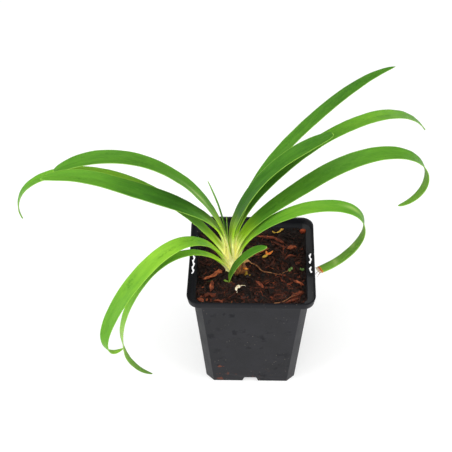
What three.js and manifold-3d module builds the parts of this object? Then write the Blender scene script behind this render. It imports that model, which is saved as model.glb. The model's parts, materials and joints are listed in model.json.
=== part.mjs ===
// Young agapanthus in a square 9 cm nursery pot.
//
// Millimetres, +Z up. The origin is on the ground under the middle of the pot's base, +Y runs
// away from the front of the pot and +X to its right. The strap leaves stand in two ranks, left
// and right of a short neck of sheathed leaf bases, and arch out over the rim of the pot.

import * as THREE from 'three';
import { mergeVertices } from 'three/addons/utils/BufferGeometryUtils.js';
import Module from 'manifold-3d';

const wasm = await Module();
wasm.setup();

// ---------------------------------------------------------------- driving dimensions

const CLEARANCE = 0.35; // air between two pieces that touch on the real plant

const POT_HEIGHT = 95.4;
const RIM_HALF = 45; // half the pot's width over its rim
const RIM_BAND = 6; // height of the upright band round the rim
const RIM_CORNER = 8.8; // radius of the rim's corners
const RIM_WALL = 1.1;
const BODY_TOP_HALF = 40.4; // half width of the tapered body under the rim
const BODY_FOOT_HALF = 32.9; // half width of the body on the ground
const BODY_TOP_CHAMFER = 5.4;
const BODY_FOOT_CHAMFER = 5.8;
const WALL = 1;
const LEDGE_TOP = 90; // the flat ledge inside the rim band
const FLOOR_UNDERSIDE = 4.5; // the pot's floor is raised off the ground on its skirt
const FLOOR_THICKNESS = 1.2;
const CENTRE_FOOT_RADIUS = 9;
const DRAIN_GAP = { footHalf: 6.6, topHalf: 5.2, height: 4.2 }; // notch in the middle of each side
const CORNER_HOLE = { radius: 3.6, reach: 29 }; // drain holes towards the corners of the floor
const SIDE_HOLE = { radius: 3.1, reach: 19 }; // and towards the middles of its sides
const LABEL_SLOT = { middle: 42.2, back: 9.6, pitch: 3.3, teeth: 6, wide: 1.9, narrow: 0.9, jog: 0.35 };
const RIM_NICK = { depth: 0.6, length: 1.6, y: 6.6 };
const CORNER_STEPS = 4;

const MIX_EDGE_LEVEL = 85; // top of the potting mix at the pot's walls
const MIX_CROWNING = 2; // how much it mounds towards the plant
const MIX_CELL = 3.7; // grid that carries the bark relief
const RELIEF_CHIPS = 150; // bark pieces that show as relief of the surface
const PROUD_CHIPS = 22; // bark pieces that stick out of it
const SEED = 20631;

const BLADE_STATIONS = 20; // sections along a strap leaf
const BLADE_MIDDLE = 1.2; // thickness along the middle of a blade
const BLADE_MARGIN = 0.65; // thickness at its margins
const TIP_WIDTH = 1.3;

// Each leaf is a strap that leaves the neck at `base`. Heading and rise are its direction in
// degrees (heading 0 points right, 90 away from the front; rise is the angle above level), and
// roll turns the blade about its own length. Their values are spaced evenly from base to tip.
// `sheath` is the length that stays in the neck, `foot` the width at the base as a share of the
// full width, and `taper` where along the leaf the tip begins to narrow. A leaf whose tip is
// gone keeps the share `cut` of its outline, and a spike has the share `body` of the thickness.
const LEAVES = {
  left_leaf_1: {
    base: [-17.6, -6.4, 112.8], length: 170, width: 13.5, foot: 0.64, taper: 0.66, sheath: 10,
    heading: [180, 179, 179], rise: [81, 59, 36, -5, -35], roll: [3, 0, -12],
  },
  left_leaf_2: {
    base: [-19.8, -6.4, 106.2], length: 164, width: 13.5, foot: 0.46, taper: 0.76, sheath: 8,
    heading: [190, 188, 190], rise: [93, 46, 30, 24, -8], roll: [-4, -6, 4],
  },
  left_leaf_3: {
    base: [-16.6, -6.7, 102.5], length: 209, width: 10, foot: 0.55, taper: 0.47, sheath: 10,
    heading: [178, 176, 180], rise: [65, 48, 32, 3, -35, -111], roll: [1, -1, -8],
  },
  left_leaf_4: {
    base: [-17.6, -7.7, 97], length: 179, width: 11.4, foot: 0.5, taper: 0.38, sheath: 8,
    heading: [206, 220, 227], rise: [72, 42, -14, -39, -73, -168], roll: [-4, -10, -28],
  },
  left_leaf_5: {
    base: [-16, -8.8, 91.2], length: 201, width: 7.4, foot: 0.7, taper: 0.37, sheath: 8,
    heading: [212, 208, 216], rise: [68, 31, -38, -71, -105, -138], roll: [-12, 3, -25],
  },
  right_leaf_1: {
    base: [-14.3, -4.4, 112.4], length: 191, width: 11.5, foot: 0.6, taper: 0.7, sheath: 14,
    heading: [33, 33, 40], rise: [84, 57, 35, 15, -7], roll: [-8, -9, 11],
  },
  right_leaf_2: {
    base: [-13.7, -6.8, 112.2], length: 126, width: 12.5, foot: 0.65, taper: 0.72, sheath: 12,
    heading: [20, 18, 22], rise: [98, 70, 50, 28, 10], roll: [0, -3, 5],
  },
  right_leaf_3: {
    base: [-12.3, -3.6, 108.6], length: 254, width: 9.6, foot: 0.45, taper: 0.65, sheath: 14,
    heading: [26, 33, 49, 47], rise: [92, 50, 25, -5, -24, -38, -57], roll: [-2, 4, 22, 20],
  },
  right_leaf_4: {
    base: [-11.4, -6.4, 100.8], length: 230, width: 13.8, foot: 0.56, taper: 0.35, sheath: 10,
    heading: [16, 22, 21], rise: [92, 37, 23, -7, -61, -179], roll: [4, 12, 1],
  },
  right_leaf_5: {
    base: [-9.8, -7.8, 96.7], length: 184, width: 10.2, foot: 0.67, taper: 0.64, sheath: 9,
    heading: [0, 12, 25], rise: [92, 46, 11, -36, -122, -169], roll: [-6, 15, 12], cut: 0.85,
  },
};

const SPIKES = {
  centre_spike_long: {
    base: [-16.1, -4.8, 111], length: 62, width: 2, foot: 0.8, taper: 0.55, sheath: 5,
    heading: [165, 165], rise: [82, 76, 67], roll: [0, 0], body: 0.5,
  },
  centre_spike_short: {
    base: [-15.7, -7.6, 111], length: 33, width: 2, foot: 0.8, taper: 0.5, sheath: 5,
    heading: [175, 175], rise: [82, 90], roll: [0, 0], body: 0.5,
  },
};

const SIDE_SHOOT_LEAF = {
  base: [-15.8, -15.2, 80], length: 55, width: 7.8, foot: 0.67, taper: 0.6, sheath: 0,
  heading: [1, -2, -4], rise: [100, 75, 58, 42, 10], roll: [8, 6, 1],
};

// Sections of the neck from its foot in the mix upwards: centre, height and half axes.
const NECK = [
  { x: -12.6, y: -7.6, z: 70, across: 2.4, deep: 2.4 },
  { x: -12.6, y: -7.6, z: 76, across: 4.8, deep: 4.4 },
  { x: -13, y: -7.6, z: 85, across: 4.9, deep: 4.3 },
  { x: -13.8, y: -7.5, z: 93, across: 5.1, deep: 4.1 },
  { x: -14.3, y: -7.1, z: 100, across: 6, deep: 3.9 },
  { x: -14.6, y: -6.5, z: 106, across: 5.8, deep: 3.6 },
  { x: -14.7, y: -5.8, z: 111, across: 3.6, deep: 2.8 },
];

// ---------------------------------------------------------------- materials

const finish = (color, roughness) => new THREE.MeshStandardMaterial({ color, roughness, metalness: 0 });

const MATERIALS = {
  pot: finish(0x24262a, 0.5),
  mix: finish(0x3a1d14, 0.95),
  neck: finish(0xd5dc8e, 0.6),
  leaf: finish(0x4f8a2c, 0.45),
  youngLeaf: finish(0x7fb236, 0.45),
  darkLeaf: finish(0x3d6d26, 0.5),
  rhizome: finish(0x8a6234, 0.85),
  yellow: finish(0xc9a53a, 0.7),
  papery: finish(0xa9814c, 0.85),
  bark: finish(0x6b3a24, 0.9),
  redBark: finish(0x8e3d22, 0.9),
  rootlet: finish(0xe9e2d2, 0.7),
  orange: finish(0xc87a34, 0.75),
  seedling: finish(0x7c9a4e, 0.6),
};

// ---------------------------------------------------------------- small helpers

const vector = (x, y, z) => new THREE.Vector3(x, y, z);
const clamp = (value, low, high) => Math.min(Math.max(value, low), high);
const smooth = (value) => value * value * (3 - 2 * value);
const radians = THREE.MathUtils.degToRad;

function seededRandom(seed) {
  let state = seed;
  return () => {
    state = (state + 0x6d2b79f5) | 0;
    let mixed = Math.imul(state ^ (state >>> 15), 1 | state);
    mixed = (mixed + Math.imul(mixed ^ (mixed >>> 7), 61 | mixed)) ^ mixed;
    return ((mixed ^ (mixed >>> 14)) >>> 0) / 4294967296;
  };
}

// Catmull-Rom curve through evenly spaced values, for s from 0 to 1.
function through(values, s) {
  const last = values.length - 1;
  const t = clamp(s * last, 0, last - 1e-9);
  const i = Math.floor(t);
  const u = t - i;
  const b = values[i];
  const c = values[i + 1];
  const a = i > 0 ? values[i - 1] : 2 * b - c;
  const d = i < last - 1 ? values[i + 2] : 2 * c - b;
  return 0.5 * (2 * b + (c - a) * u + (2 * a - 5 * b + 4 * c - d) * u * u + (3 * b - a - 3 * c + d) * u ** 3);
}

function geometryFrom(points, triangles) {
  const geometry = new THREE.BufferGeometry();
  const numbers = points.flatMap((point) => [point.x, point.y, point.z]);
  geometry.setAttribute('position', new THREE.Float32BufferAttribute(numbers, 3));
  geometry.setIndex(triangles.flat());
  return geometry;
}

// A closed three.js geometry as a solid that can be cut and joined.
function solidFrom(geometry) {
  const bare = geometry.clone();
  bare.deleteAttribute('normal');
  bare.deleteAttribute('uv');
  const merged = mergeVertices(bare, 1e-4);
  return new wasm.Manifold(new wasm.Mesh({
    numProp: 3,
    vertProperties: new Float32Array(merged.attributes.position.array),
    triVerts: new Uint32Array(merged.index.array),
  }));
}

function boxSolid(width, depth, height, x, y, z, turn = 0) {
  const box = new THREE.BoxGeometry(width, depth, height);
  return solidFrom(box.rotateZ(turn).translate(x, y, z));
}

function postSolid(radius, height, sides, x, y, z) {
  const post = new THREE.CylinderGeometry(radius, radius, height, sides);
  return solidFrom(post.rotateX(Math.PI / 2).translate(x, y, z));
}

const joined = (solids) => solids.reduce((whole, next) => whole.add(next));

// Cutting can leave crumbs, so only the largest body of a solid is kept.
function largestBody(solid) {
  const bodies = solid.decompose();
  return bodies.reduce((best, body) => (body.volume() > best.volume() ? body : best));
}

function named(name, solid, material) {
  const { vertProperties, triVerts } = solid.getMesh();
  const geometry = new THREE.BufferGeometry();
  geometry.setAttribute('position', new THREE.Float32BufferAttribute(vertProperties, 3));
  geometry.setIndex(Array.from(triVerts));
  geometry.computeVertexNormals();
  const mesh = new THREE.Mesh(geometry, material);
  mesh.name = name;
  return mesh;
}

// Skin over rings of equal length, closed at both ends with a fan round the ring's middle.
function loft(rings) {
  const count = rings[0].length;
  const points = rings.flat();
  const triangles = [];
  for (let i = 0; i + 1 < rings.length; i += 1) {
    for (let j = 0; j < count; j += 1) {
      const near = i * count + j;
      const next = i * count + ((j + 1) % count);
      triangles.push([near, next, next + count], [near, next + count, near + count]);
    }
  }
  const middle = (ring) => ring.reduce((sum, point) => sum.add(point), vector(0, 0, 0)).divideScalar(count);
  const start = points.push(middle(rings[0])) - 1;
  const end = points.push(middle(rings.at(-1))) - 1;
  const lastRing = (rings.length - 1) * count;
  for (let j = 0; j < count; j += 1) {
    const next = (j + 1) % count;
    triangles.push([start, next, j], [end, lastRing + j, lastRing + next]);
  }
  return geometryFrom(points, triangles);
}

// ---------------------------------------------------------------- pot

// Square outline whose corners run from a flat chamfer (roundness 0) to an arc (roundness 1).
function squareRing(half, corner, roundness, z) {
  const ring = [];
  for (let quarter = 0; quarter < 4; quarter += 1) {
    for (let step = 0; step <= CORNER_STEPS; step += 1) {
      const t = step / CORNER_STEPS;
      const angle = (t * Math.PI) / 2;
      const flat = [half - corner * t, half - corner * (1 - t)];
      const round = [half - corner * (1 - Math.cos(angle)), half - corner * (1 - Math.sin(angle))];
      const x = THREE.MathUtils.lerp(flat[0], round[0], roundness);
      const y = THREE.MathUtils.lerp(flat[1], round[1], roundness);
      ring.push(vector(x, y, z).applyAxisAngle(vector(0, 0, 1), (quarter * Math.PI) / 2));
    }
  }
  return ring;
}

// Half width and corner chamfer of the body's outside at height z.
function bodyOutside(z) {
  const share = z / (POT_HEIGHT - RIM_BAND);
  return {
    half: THREE.MathUtils.lerp(BODY_FOOT_HALF, BODY_TOP_HALF, share),
    chamfer: THREE.MathUtils.lerp(BODY_FOOT_CHAMFER, BODY_TOP_CHAMFER, share),
  };
}

function bodyRing(z, inset) {
  const { half, chamfer } = bodyOutside(z);
  const narrower = inset * (2 - Math.SQRT2);
  return squareRing(half - inset, chamfer - narrower, 0, z);
}

function rimBody() {
  const under = POT_HEIGHT - RIM_BAND;
  const lip = 0.5;
  return solidFrom(loft([
    bodyRing(0, 0),
    bodyRing(under, 0),
    squareRing(RIM_HALF - lip, RIM_CORNER, 1, under),
    squareRing(RIM_HALF, RIM_CORNER, 1, under + lip),
    squareRing(RIM_HALF, RIM_CORNER, 1, POT_HEIGHT - lip),
    squareRing(RIM_HALF - lip, RIM_CORNER, 1, POT_HEIGHT),
    squareRing(RIM_HALF - RIM_WALL, RIM_CORNER - RIM_WALL, 1, POT_HEIGHT),
    squareRing(RIM_HALF - RIM_WALL, RIM_CORNER - RIM_WALL, 1, LEDGE_TOP),
    bodyRing(LEDGE_TOP, WALL),
    bodyRing(FLOOR_UNDERSIDE + FLOOR_THICKNESS, WALL),
  ]));
}

// The hollow under the raised floor, round the small foot in the middle.
function undersideHollow() {
  const skirt = 1.4;
  const hollow = solidFrom(loft([bodyRing(-1, skirt), bodyRing(FLOOR_UNDERSIDE, skirt)]));
  return hollow.subtract(postSolid(CENTRE_FOOT_RADIUS, 20, 24, 0, 0, 0));
}

// A drain gap through the skirt in the middle of each side, narrower at its top.
function drainGaps() {
  const { footHalf, topHalf, height } = DRAIN_GAP;
  const outline = new THREE.Shape();
  outline.moveTo(-footHalf, -1);
  outline.lineTo(footHalf, -1);
  outline.lineTo(topHalf, height);
  outline.lineTo(-topHalf, height);
  const through = 12;
  const gap = new THREE.ExtrudeGeometry(outline, { depth: through, bevelEnabled: false });
  gap.rotateX(Math.PI / 2);
  gap.translate(0, through - BODY_FOOT_HALF - 2, 0);
  return [0, 1, 2, 3].map((side) => solidFrom(gap.clone().rotateZ((side * Math.PI) / 2)));
}

function drainHole({ radius, reach }, angle) {
  const sides = 12;
  const length = 8;
  return postSolid(radius, length, sides, reach * Math.cos(angle), reach * Math.sin(angle), FLOOR_UNDERSIDE);
}

function drainHoles() {
  const quarters = [0, 1, 2, 3];
  return [
    ...quarters.map((quarter) => drainHole(SIDE_HOLE, (quarter * Math.PI) / 2)),
    ...quarters.map((quarter) => drainHole(CORNER_HOLE, ((quarter + 0.5) * Math.PI) / 2)),
  ];
}

// Saw-edged slots for a plant label, through the ledge at the left and the right; a bridge of
// plastic interrupts the right one. A small nick marks the rim beside each.
function labelSlots() {
  const { middle, back, pitch, teeth, wide, narrow, jog } = LABEL_SLOT;
  const cuts = [];
  for (const side of [-1, 1]) {
    for (let tooth = 0; tooth < teeth; tooth += 1) {
      const bridged = side > 0 && tooth === 3;
      const beforeBridge = side > 0 && tooth === 2;
      const y = back - tooth * pitch;
      const lean = (tooth % 2 ? jog : -jog) * side;
      if (!bridged) cuts.push(boxSolid(wide, 0.6 * pitch, 8, side * middle, y, LEDGE_TOP));
      if (!bridged && !beforeBridge) {
        cuts.push(boxSolid(narrow, pitch, 8, side * middle + lean, y - pitch / 2, LEDGE_TOP));
      }
    }
    const { depth, length, y } = RIM_NICK;
    cuts.push(boxSolid(2 * depth, length, 3, side * RIM_HALF, y, POT_HEIGHT));
  }
  return cuts;
}

const potSolid = rimBody()
  .subtract(undersideHollow())
  .subtract(joined([...drainGaps(), ...drainHoles(), ...labelSlots()]));

// ---------------------------------------------------------------- strap leaves

const headingOf = (leaf, s) => radians(through(leaf.heading, s));
const riseOf = (leaf, s) => radians(through(leaf.rise, s));

function directionAt(leaf, s) {
  const heading = headingOf(leaf, s);
  const rise = riseOf(leaf, s);
  return vector(
    Math.cos(rise) * Math.cos(heading),
    Math.cos(rise) * Math.sin(heading),
    Math.sin(rise),
  );
}

// Points along the leaf's middle, walked from the base in short straight steps.
function midline(leaf) {
  const steps = 120;
  const points = [vector(...leaf.base)];
  for (let k = 0; k < steps; k += 1) {
    const stride = directionAt(leaf, (k + 0.5) / steps).multiplyScalar(leaf.length / steps);
    points.push(points[k].clone().add(stride));
  }
  return points;
}

function pointAt(line, s) {
  const place = clamp(s, 0, 1) * (line.length - 1);
  const k = Math.min(Math.floor(place), line.length - 2);
  return line[k].clone().lerp(line[k + 1], place - k);
}

function widthAt(leaf, s) {
  const widening = leaf.foot + (1 - leaf.foot) * smooth(clamp(s / 0.4, 0, 1));
  const towardsTip = clamp((s * (leaf.cut ?? 1) - leaf.taper) / (1 - leaf.taper), 0, 1);
  return Math.max(leaf.width * widening * Math.sqrt(1 - towardsTip ** 2.2), TIP_WIDTH);
}

// One section: the upper face from margin to margin, then the lower face the same way.
function bladeSection(leaf, line, s, distance, grow) {
  const tangent = directionAt(leaf, s);
  const heading = headingOf(leaf, s);
  const roll = radians(through(leaf.roll, s));
  const level = vector(-Math.sin(heading), Math.cos(heading), 0);
  const across = level.applyAxisAngle(tangent, roll);
  const normal = tangent.clone().cross(across);
  const centre = pointAt(line, s);
  if (distance < 0) centre.addScaledVector(tangent, distance);
  const half = widthAt(leaf, s) / 2;
  const nearBase = 1 - smooth(clamp(s / 0.3, 0, 1));
  const dish = half * (0.13 + 0.3 * nearBase);
  const middle = (leaf.body ?? 1) * (BLADE_MIDDLE * (1 - 0.35 * s) + 0.8 * nearBase);
  const upper = [];
  const lower = [];
  for (const u of [-1, -0.5, 0, 0.5, 1]) {
    const thick = THREE.MathUtils.lerp(middle, BLADE_MARGIN, u * u) + 2 * grow;
    const spread = u * (half + grow);
    const place = centre.clone().addScaledVector(across, spread).addScaledVector(normal, dish * u * u);
    upper.push(place.clone().addScaledVector(normal, thick / 2));
    lower.push(place.clone().addScaledVector(normal, -thick / 2));
  }
  return [...upper, ...lower];
}

// The blade between two distances from its base, both faces cut into triangles alike.
function bladeSolid(leaf, from, to, stations, grow = 0) {
  const line = midline(leaf);
  const points = [];
  for (let i = 0; i <= stations; i += 1) {
    const distance = THREE.MathUtils.lerp(from, to, i / stations);
    points.push(...bladeSection(leaf, line, clamp(distance / leaf.length, 0, 1), distance, grow));
  }
  const triangles = [];
  for (let i = 0; i < stations; i += 1) {
    for (let j = 0; j < 4; j += 1) {
      const a = i * 10 + j;
      const d = a + 10;
      triangles.push([a, d, a + 1], [a + 1, d, d + 1]);
      triangles.push([a + 5, a + 6, d + 5], [a + 6, d + 6, d + 5]);
    }
    const left = i * 10;
    triangles.push([left, left + 5, left + 15], [left, left + 15, left + 10]);
    const right = left + 4;
    triangles.push([right, right + 10, right + 15], [right, right + 15, right + 5]);
  }
  const lastRow = stations * 10;
  for (let j = 0; j < 4; j += 1) {
    triangles.push([j, j + 1, j + 6], [j, j + 6, j + 5]);
    const a = lastRow + j;
    triangles.push([a, a + 5, a + 6], [a, a + 6, a + 1]);
  }
  return solidFrom(geometryFrom(points, triangles));
}

const leafSolid = (leaf, stations) => bladeSolid(leaf, leaf.sheath + CLEARANCE, leaf.length, stations);

// ---------------------------------------------------------------- neck of leaf bases

function neckCore(grow, sections) {
  const sides = 12;
  return loft(sections.map(({ x, y, z, across, deep }) => {
    const ring = [];
    for (let j = 0; j < sides; j += 1) {
      const angle = (j / sides) * 2 * Math.PI;
      ring.push(vector(x + (across + grow) * Math.cos(angle), y + (deep + grow) * Math.sin(angle), z));
    }
    return ring;
  }));
}

// The leaf's own base, which stays with the neck and runs back down into it.
const sheathSolid = (leaf) => bladeSolid(leaf, -7, leaf.sheath, 4);

function neckSolid() {
  const core = solidFrom(neckCore(0, NECK));
  return joined([core, ...Object.values({ ...LEAVES, ...SPIKES }).map(sheathSolid)]);
}

function neckHole() {
  const foot = { ...NECK[0], z: NECK[0].z - CLEARANCE };
  return solidFrom(neckCore(CLEARANCE, [foot, ...NECK.slice(1)]));
}

// ---------------------------------------------------------------- potting mix

const random = seededRandom(SEED);
const between = (low, high) => low + (high - low) * random();

function barkChip(reach) {
  return {
    x: between(-reach, reach),
    y: between(-reach, reach),
    turn: between(0, Math.PI),
    halfLength: between(2.4, 6),
    halfWidth: between(1, 2.1),
    lift: between(0.5, 1.9),
    lean: between(-0.12, 0.12),
  };
}

const reliefChips = Array.from({ length: RELIEF_CHIPS }, () => barkChip(41));

// Height of one chip's back above the level of the mix at x, y; nothing outside its outline.
function chipRelief(chip, x, y) {
  const along = (x - chip.x) * Math.cos(chip.turn) + (y - chip.y) * Math.sin(chip.turn);
  const aside = (y - chip.y) * Math.cos(chip.turn) - (x - chip.x) * Math.sin(chip.turn);
  const edge = Math.max(Math.abs(along) / chip.halfLength, Math.abs(aside) / chip.halfWidth);
  const back = chip.lift + chip.lean * along;
  return edge < 1.3 ? back * smooth(clamp((1.3 - edge) / 0.5, 0, 1)) : 0;
}

function mixHeight(x, y) {
  const outward = clamp(Math.hypot(x, y) / BODY_TOP_HALF, 0, 1);
  const level = MIX_EDGE_LEVEL + MIX_CROWNING * (1 - outward ** 2);
  return reliefChips.reduce((height, chip) => Math.max(height, level + chipRelief(chip, x, y)), level);
}

// A square block whose top carries the relief.
function reliefBlock() {
  const cells = Math.ceil((2 * RIM_HALF) / MIX_CELL);
  const reach = (cells * MIX_CELL) / 2;
  const row = cells + 1;
  const points = [];
  for (const top of [true, false]) {
    for (let i = 0; i <= cells; i += 1) {
      for (let j = 0; j <= cells; j += 1) {
        const x = i * MIX_CELL - reach;
        const y = j * MIX_CELL - reach;
        points.push(vector(x, y, top ? mixHeight(x, y) : 0));
      }
    }
  }
  const under = row * row;
  const triangles = [];
  for (let i = 0; i < cells; i += 1) {
    for (let j = 0; j < cells; j += 1) {
      const a = i * row + j;
      const b = a + row;
      triangles.push([a, b, b + 1], [a, b + 1, a + 1]);
      triangles.push([under + a, under + b + 1, under + b], [under + a, under + a + 1, under + b + 1]);
    }
    const front = i * row;
    triangles.push([front, under + front, under + front + row], [front, under + front + row, front + row]);
    const back = front + cells;
    triangles.push([back, back + row, under + back + row], [back, under + back + row, under + back]);
    triangles.push([i, i + 1, under + i + 1], [i, under + i + 1, under + i]);
    const far = cells * row + i;
    triangles.push([far, under + far, under + far + 1], [far, under + far + 1, far + 1]);
  }
  return solidFrom(geometryFrom(points, triangles));
}

function proudChip() {
  const chip = barkChip(35);
  const box = new THREE.BoxGeometry(2 * chip.halfLength, 1.6 * chip.halfWidth, 1.5);
  box.rotateX(between(-0.5, 0.5)).rotateY(between(-0.3, 0.3)).rotateZ(chip.turn);
  return solidFrom(box.translate(chip.x, chip.y, mixHeight(chip.x, chip.y) + 0.1));
}

function mixBlock() {
  const inset = WALL + CLEARANCE;
  const floor = FLOOR_UNDERSIDE + FLOOR_THICKNESS + CLEARANCE;
  const filling = solidFrom(loft([bodyRing(floor, inset), bodyRing(LEDGE_TOP, inset)]));
  const chips = Array.from({ length: PROUD_CHIPS }, proudChip);
  return joined([reliefBlock(), ...chips]).intersect(filling);
}

// ---------------------------------------------------------------- things on the mix

const onMix = (x, y, lift = 0) => vector(x, y, mixHeight(x, y) + lift);

// A rod, flake or root along a smooth path: half width and half thickness by the shape function.
function strand(path, shape, sides, steps, grow = 0) {
  const curve = new THREE.CatmullRomCurve3(path, false, 'centripetal');
  const rings = [];
  for (let i = 0; i <= steps; i += 1) {
    const t = i / steps;
    const tangent = curve.getTangent(t);
    const across = vector(0.02, 0.03, 1).cross(tangent).normalize();
    const raised = tangent.clone().cross(across);
    const { wide, thick } = shape(t);
    const end = i === 0 ? -grow : i === steps ? grow : 0;
    const centre = curve.getPoint(t).addScaledVector(tangent, end);
    const ring = [];
    for (let j = 0; j < sides; j += 1) {
      const angle = ((j + 0.5) / sides) * 2 * Math.PI;
      ring.push(centre.clone()
        .addScaledVector(across, Math.cos(angle) * (wide + grow))
        .addScaledVector(raised, Math.sin(angle) * (thick + grow)));
    }
    rings.push(ring);
  }
  return solidFrom(loft(rings));
}

const pointed = (wide, thick) => (t) => {
  const fullness = 0.35 + 0.65 * Math.sin(Math.PI * clamp(t, 0.02, 0.98));
  return { wide: wide * fullness, thick };
};
const domed = (wide, thick) => (t) => {
  const fullness = Math.sqrt(1 - 0.9 * clamp((t - 0.4) / 0.6, 0, 1) ** 2);
  return { wide: wide * fullness, thick: thick * fullness };
};
const tapering = (wide, thick) => (t) => ({ wide: wide * (1 - 0.5 * t), thick: thick * (1 - 0.5 * t) });

// Each small piece: its path over the mix, its section, and how it is divided.
const SMALL_PIECES = {
  rhizome: {
    material: MATERIALS.rhizome, sides: 10, steps: 5, shape: domed(4.8, 4.2),
    path: [vector(-4.8, -6.4, 80), vector(-5.2, -6, 86), vector(-6.2, -4.9, 91.6)],
  },
  rhizome_bud: {
    material: MATERIALS.yellow, sides: 6, steps: 3, shape: tapering(1.7, 1.5),
    path: [vector(-4.2, -10.9, 84), vector(-3.8, -11.1, 87), vector(-3.2, -11.4, 89.4)],
  },
  side_shoot_bud: {
    material: MATERIALS.youngLeaf, sides: 6, steps: 3, shape: tapering(1.6, 1.3),
    path: [vector(-19.8, -15.4, 84), vector(-20.3, -15.7, 87), vector(-21.6, -16, 89.6)],
  },
  dry_sheath: {
    material: MATERIALS.papery, sides: 4, steps: 4, shape: pointed(2.6, 0.45),
    path: [vector(-8.6, -3.2, 96), vector(-5.6, 0.4, 93.6), vector(-0.4, 2.2, 89.6)],
  },
  surface_root: {
    material: MATERIALS.papery, sides: 6, steps: 20, shape: tapering(0.75, 0.75),
    path: [
      vector(0.4, 2.2, 88.9), onMix(3.6, 0.8, 1),  onMix(6, -2.8, 0.7), onMix(8.8, -5.8, 0.7),
      onMix(14.6, -6, 0.7), onMix(20, -6.7, 0.7), onMix(25, -3.5, 0.6),
    ],
  },
  seedling_near: {
    material: MATERIALS.seedling, sides: 6, steps: 3, shape: pointed(1.6, 0.5),
    path: [onMix(26.6, -2.4, 0.7), onMix(28.2, -1.8, 0.9), onMix(30, -1.6, 0.7)],
  },
  seedling_far: {
    material: MATERIALS.seedling, sides: 6, steps: 3, shape: pointed(1.6, 0.5),
    path: [onMix(34.4, -1.4, 0.5), onMix(35.8, -1.2, 0.7), onMix(37.2, -1.2, 0.5)],
  },
  bark_chip_long: {
    material: MATERIALS.redBark, sides: 6, steps: 4, shape: pointed(2.4, 1.1),
    path: [onMix(-35, -13.6, 0.6), onMix(-28.4, -8.6, 1.2), onMix(-22, -3.6, 1.4)],
  },
  bark_chip_upright: {
    material: MATERIALS.bark, sides: 6, steps: 3, shape: pointed(1.9, 1),
    path: [onMix(-29.4, -24.6, 0.4), onMix(-28.6, -20, 0.8), onMix(-27.8, -16, 0.8)],
  },
  bark_nugget_red: {
    material: MATERIALS.redBark, sides: 8, steps: 4, shape: pointed(2.9, 1.5),
    path: [onMix(32.4, 34.6, 0.8), onMix(34.4, 34.4, 1), onMix(36.2, 34, 0.8)],
  },
  bark_nugget_round: {
    material: MATERIALS.redBark, sides: 8, steps: 4, shape: pointed(2.6, 1.2),
    path: [onMix(26.8, 18.4, 0.7), onMix(29.2, 19, 1), onMix(31.6, 19.4, 0.7)],
  },
  bark_sliver_right: {
    material: MATERIALS.bark, sides: 6, steps: 3, shape: pointed(1.1, 0.7),
    path: [onMix(29.6, -14.6, 0.5), onMix(33.4, -15.8, 0.8), onMix(36.6, -17.2, 0.5)],
  },
  bark_sliver_front: {
    material: MATERIALS.bark, sides: 6, steps: 3, shape: pointed(1.4, 0.8),
    path: [onMix(24, -35, 0.5), onMix(29, -32.6, 0.9), onMix(33.6, -30.4, 0.5)],
  },
  white_rootlet: {
    material: MATERIALS.rootlet, sides: 6, steps: 10, shape: tapering(1, 0.9),
    path: [
      onMix(-10, -25.4, 0.8), onMix(-11.6, -23.4, 1), onMix(-10.8, -21.2, 1.2),
      onMix(-8.4, -20.6, 1.2), onMix(-6.2, -19, 1), onMix(-4.2, -17.6, 0.8),
    ],
  },
  fallen_bract: {
    material: MATERIALS.orange, sides: 6, steps: 4, shape: pointed(1.7, 0.6),
    path: [onMix(8, 10.2, 0.8), onMix(11.4, 12.8, 1.2), onMix(15, 15.4, 1.6)],
  },
  fallen_strip: {
    material: MATERIALS.yellow, sides: 6, steps: 5, shape: pointed(1.1, 0.5),
    path: [onMix(15, 33, 0.7), onMix(18.2, 35.2, 1.3), onMix(21.2, 35.4, 0.9), onMix(24, 36.6, 1.2)],
  },
};

const strandOf = ({ path, shape, sides, steps }, grow = 0) => strand(path, shape, sides, steps, grow);

// ---------------------------------------------------------------- assembly

const blades = Object.values({ ...LEAVES, ...SPIKES });
const bladeRoom = (leaf) => bladeSolid(leaf, leaf.sheath, leaf.sheath + 24, 5, CLEARANCE);
const sideShoot = bladeSolid(SIDE_SHOOT_LEAF, 0, SIDE_SHOOT_LEAF.length, 10);
const sideShootRoom = bladeSolid(SIDE_SHOOT_LEAF, -CLEARANCE, SIDE_SHOOT_LEAF.length, 10, CLEARANCE);
const neck = largestBody(neckSolid().subtract(joined([...blades.map(bladeRoom), sideShootRoom])));
const neckWithRoom = neck.add(neckHole());

const smallSolids = {};
const rooms = [neckWithRoom, sideShootRoom];
for (const [name, piece] of Object.entries(SMALL_PIECES)) {
  smallSolids[name] = strandOf(piece).subtract(joined(rooms));
  rooms.push(strandOf(piece, CLEARANCE));
}
const mixSolid = largestBody(mixBlock().subtract(joined(rooms)));

const plant = new THREE.Group();
plant.add(named('pot', potSolid, MATERIALS.pot));
plant.add(named('potting_mix', mixSolid, MATERIALS.mix));
plant.add(named('crown', neck, MATERIALS.neck));
for (const [name, leaf] of Object.entries(LEAVES)) {
  const material = name.endsWith('4') || name === 'right_leaf_5' ? MATERIALS.youngLeaf : MATERIALS.leaf;
  plant.add(named(name, leafSolid(leaf, BLADE_STATIONS), material));
}
for (const [name, spike] of Object.entries(SPIKES)) {
  plant.add(named(name, leafSolid(spike, 6), MATERIALS.darkLeaf));
}
plant.add(named('side_shoot_leaf', sideShoot, MATERIALS.darkLeaf));
for (const [name, solid] of Object.entries(smallSolids)) {
  plant.add(named(name, largestBody(solid), SMALL_PIECES[name].material));
}

export default plant;
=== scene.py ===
"""A young agapanthus in its square nursery pot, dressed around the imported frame.

Shapes are worked out in millimetres, in the frame's own axes, and become metres when a mesh is
made. Each sub-assembly is a class: it holds its sizes, builds its pieces and dresses them.
Angles are in degrees where they are stated, and in radians where they are worked with.
"""

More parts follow.
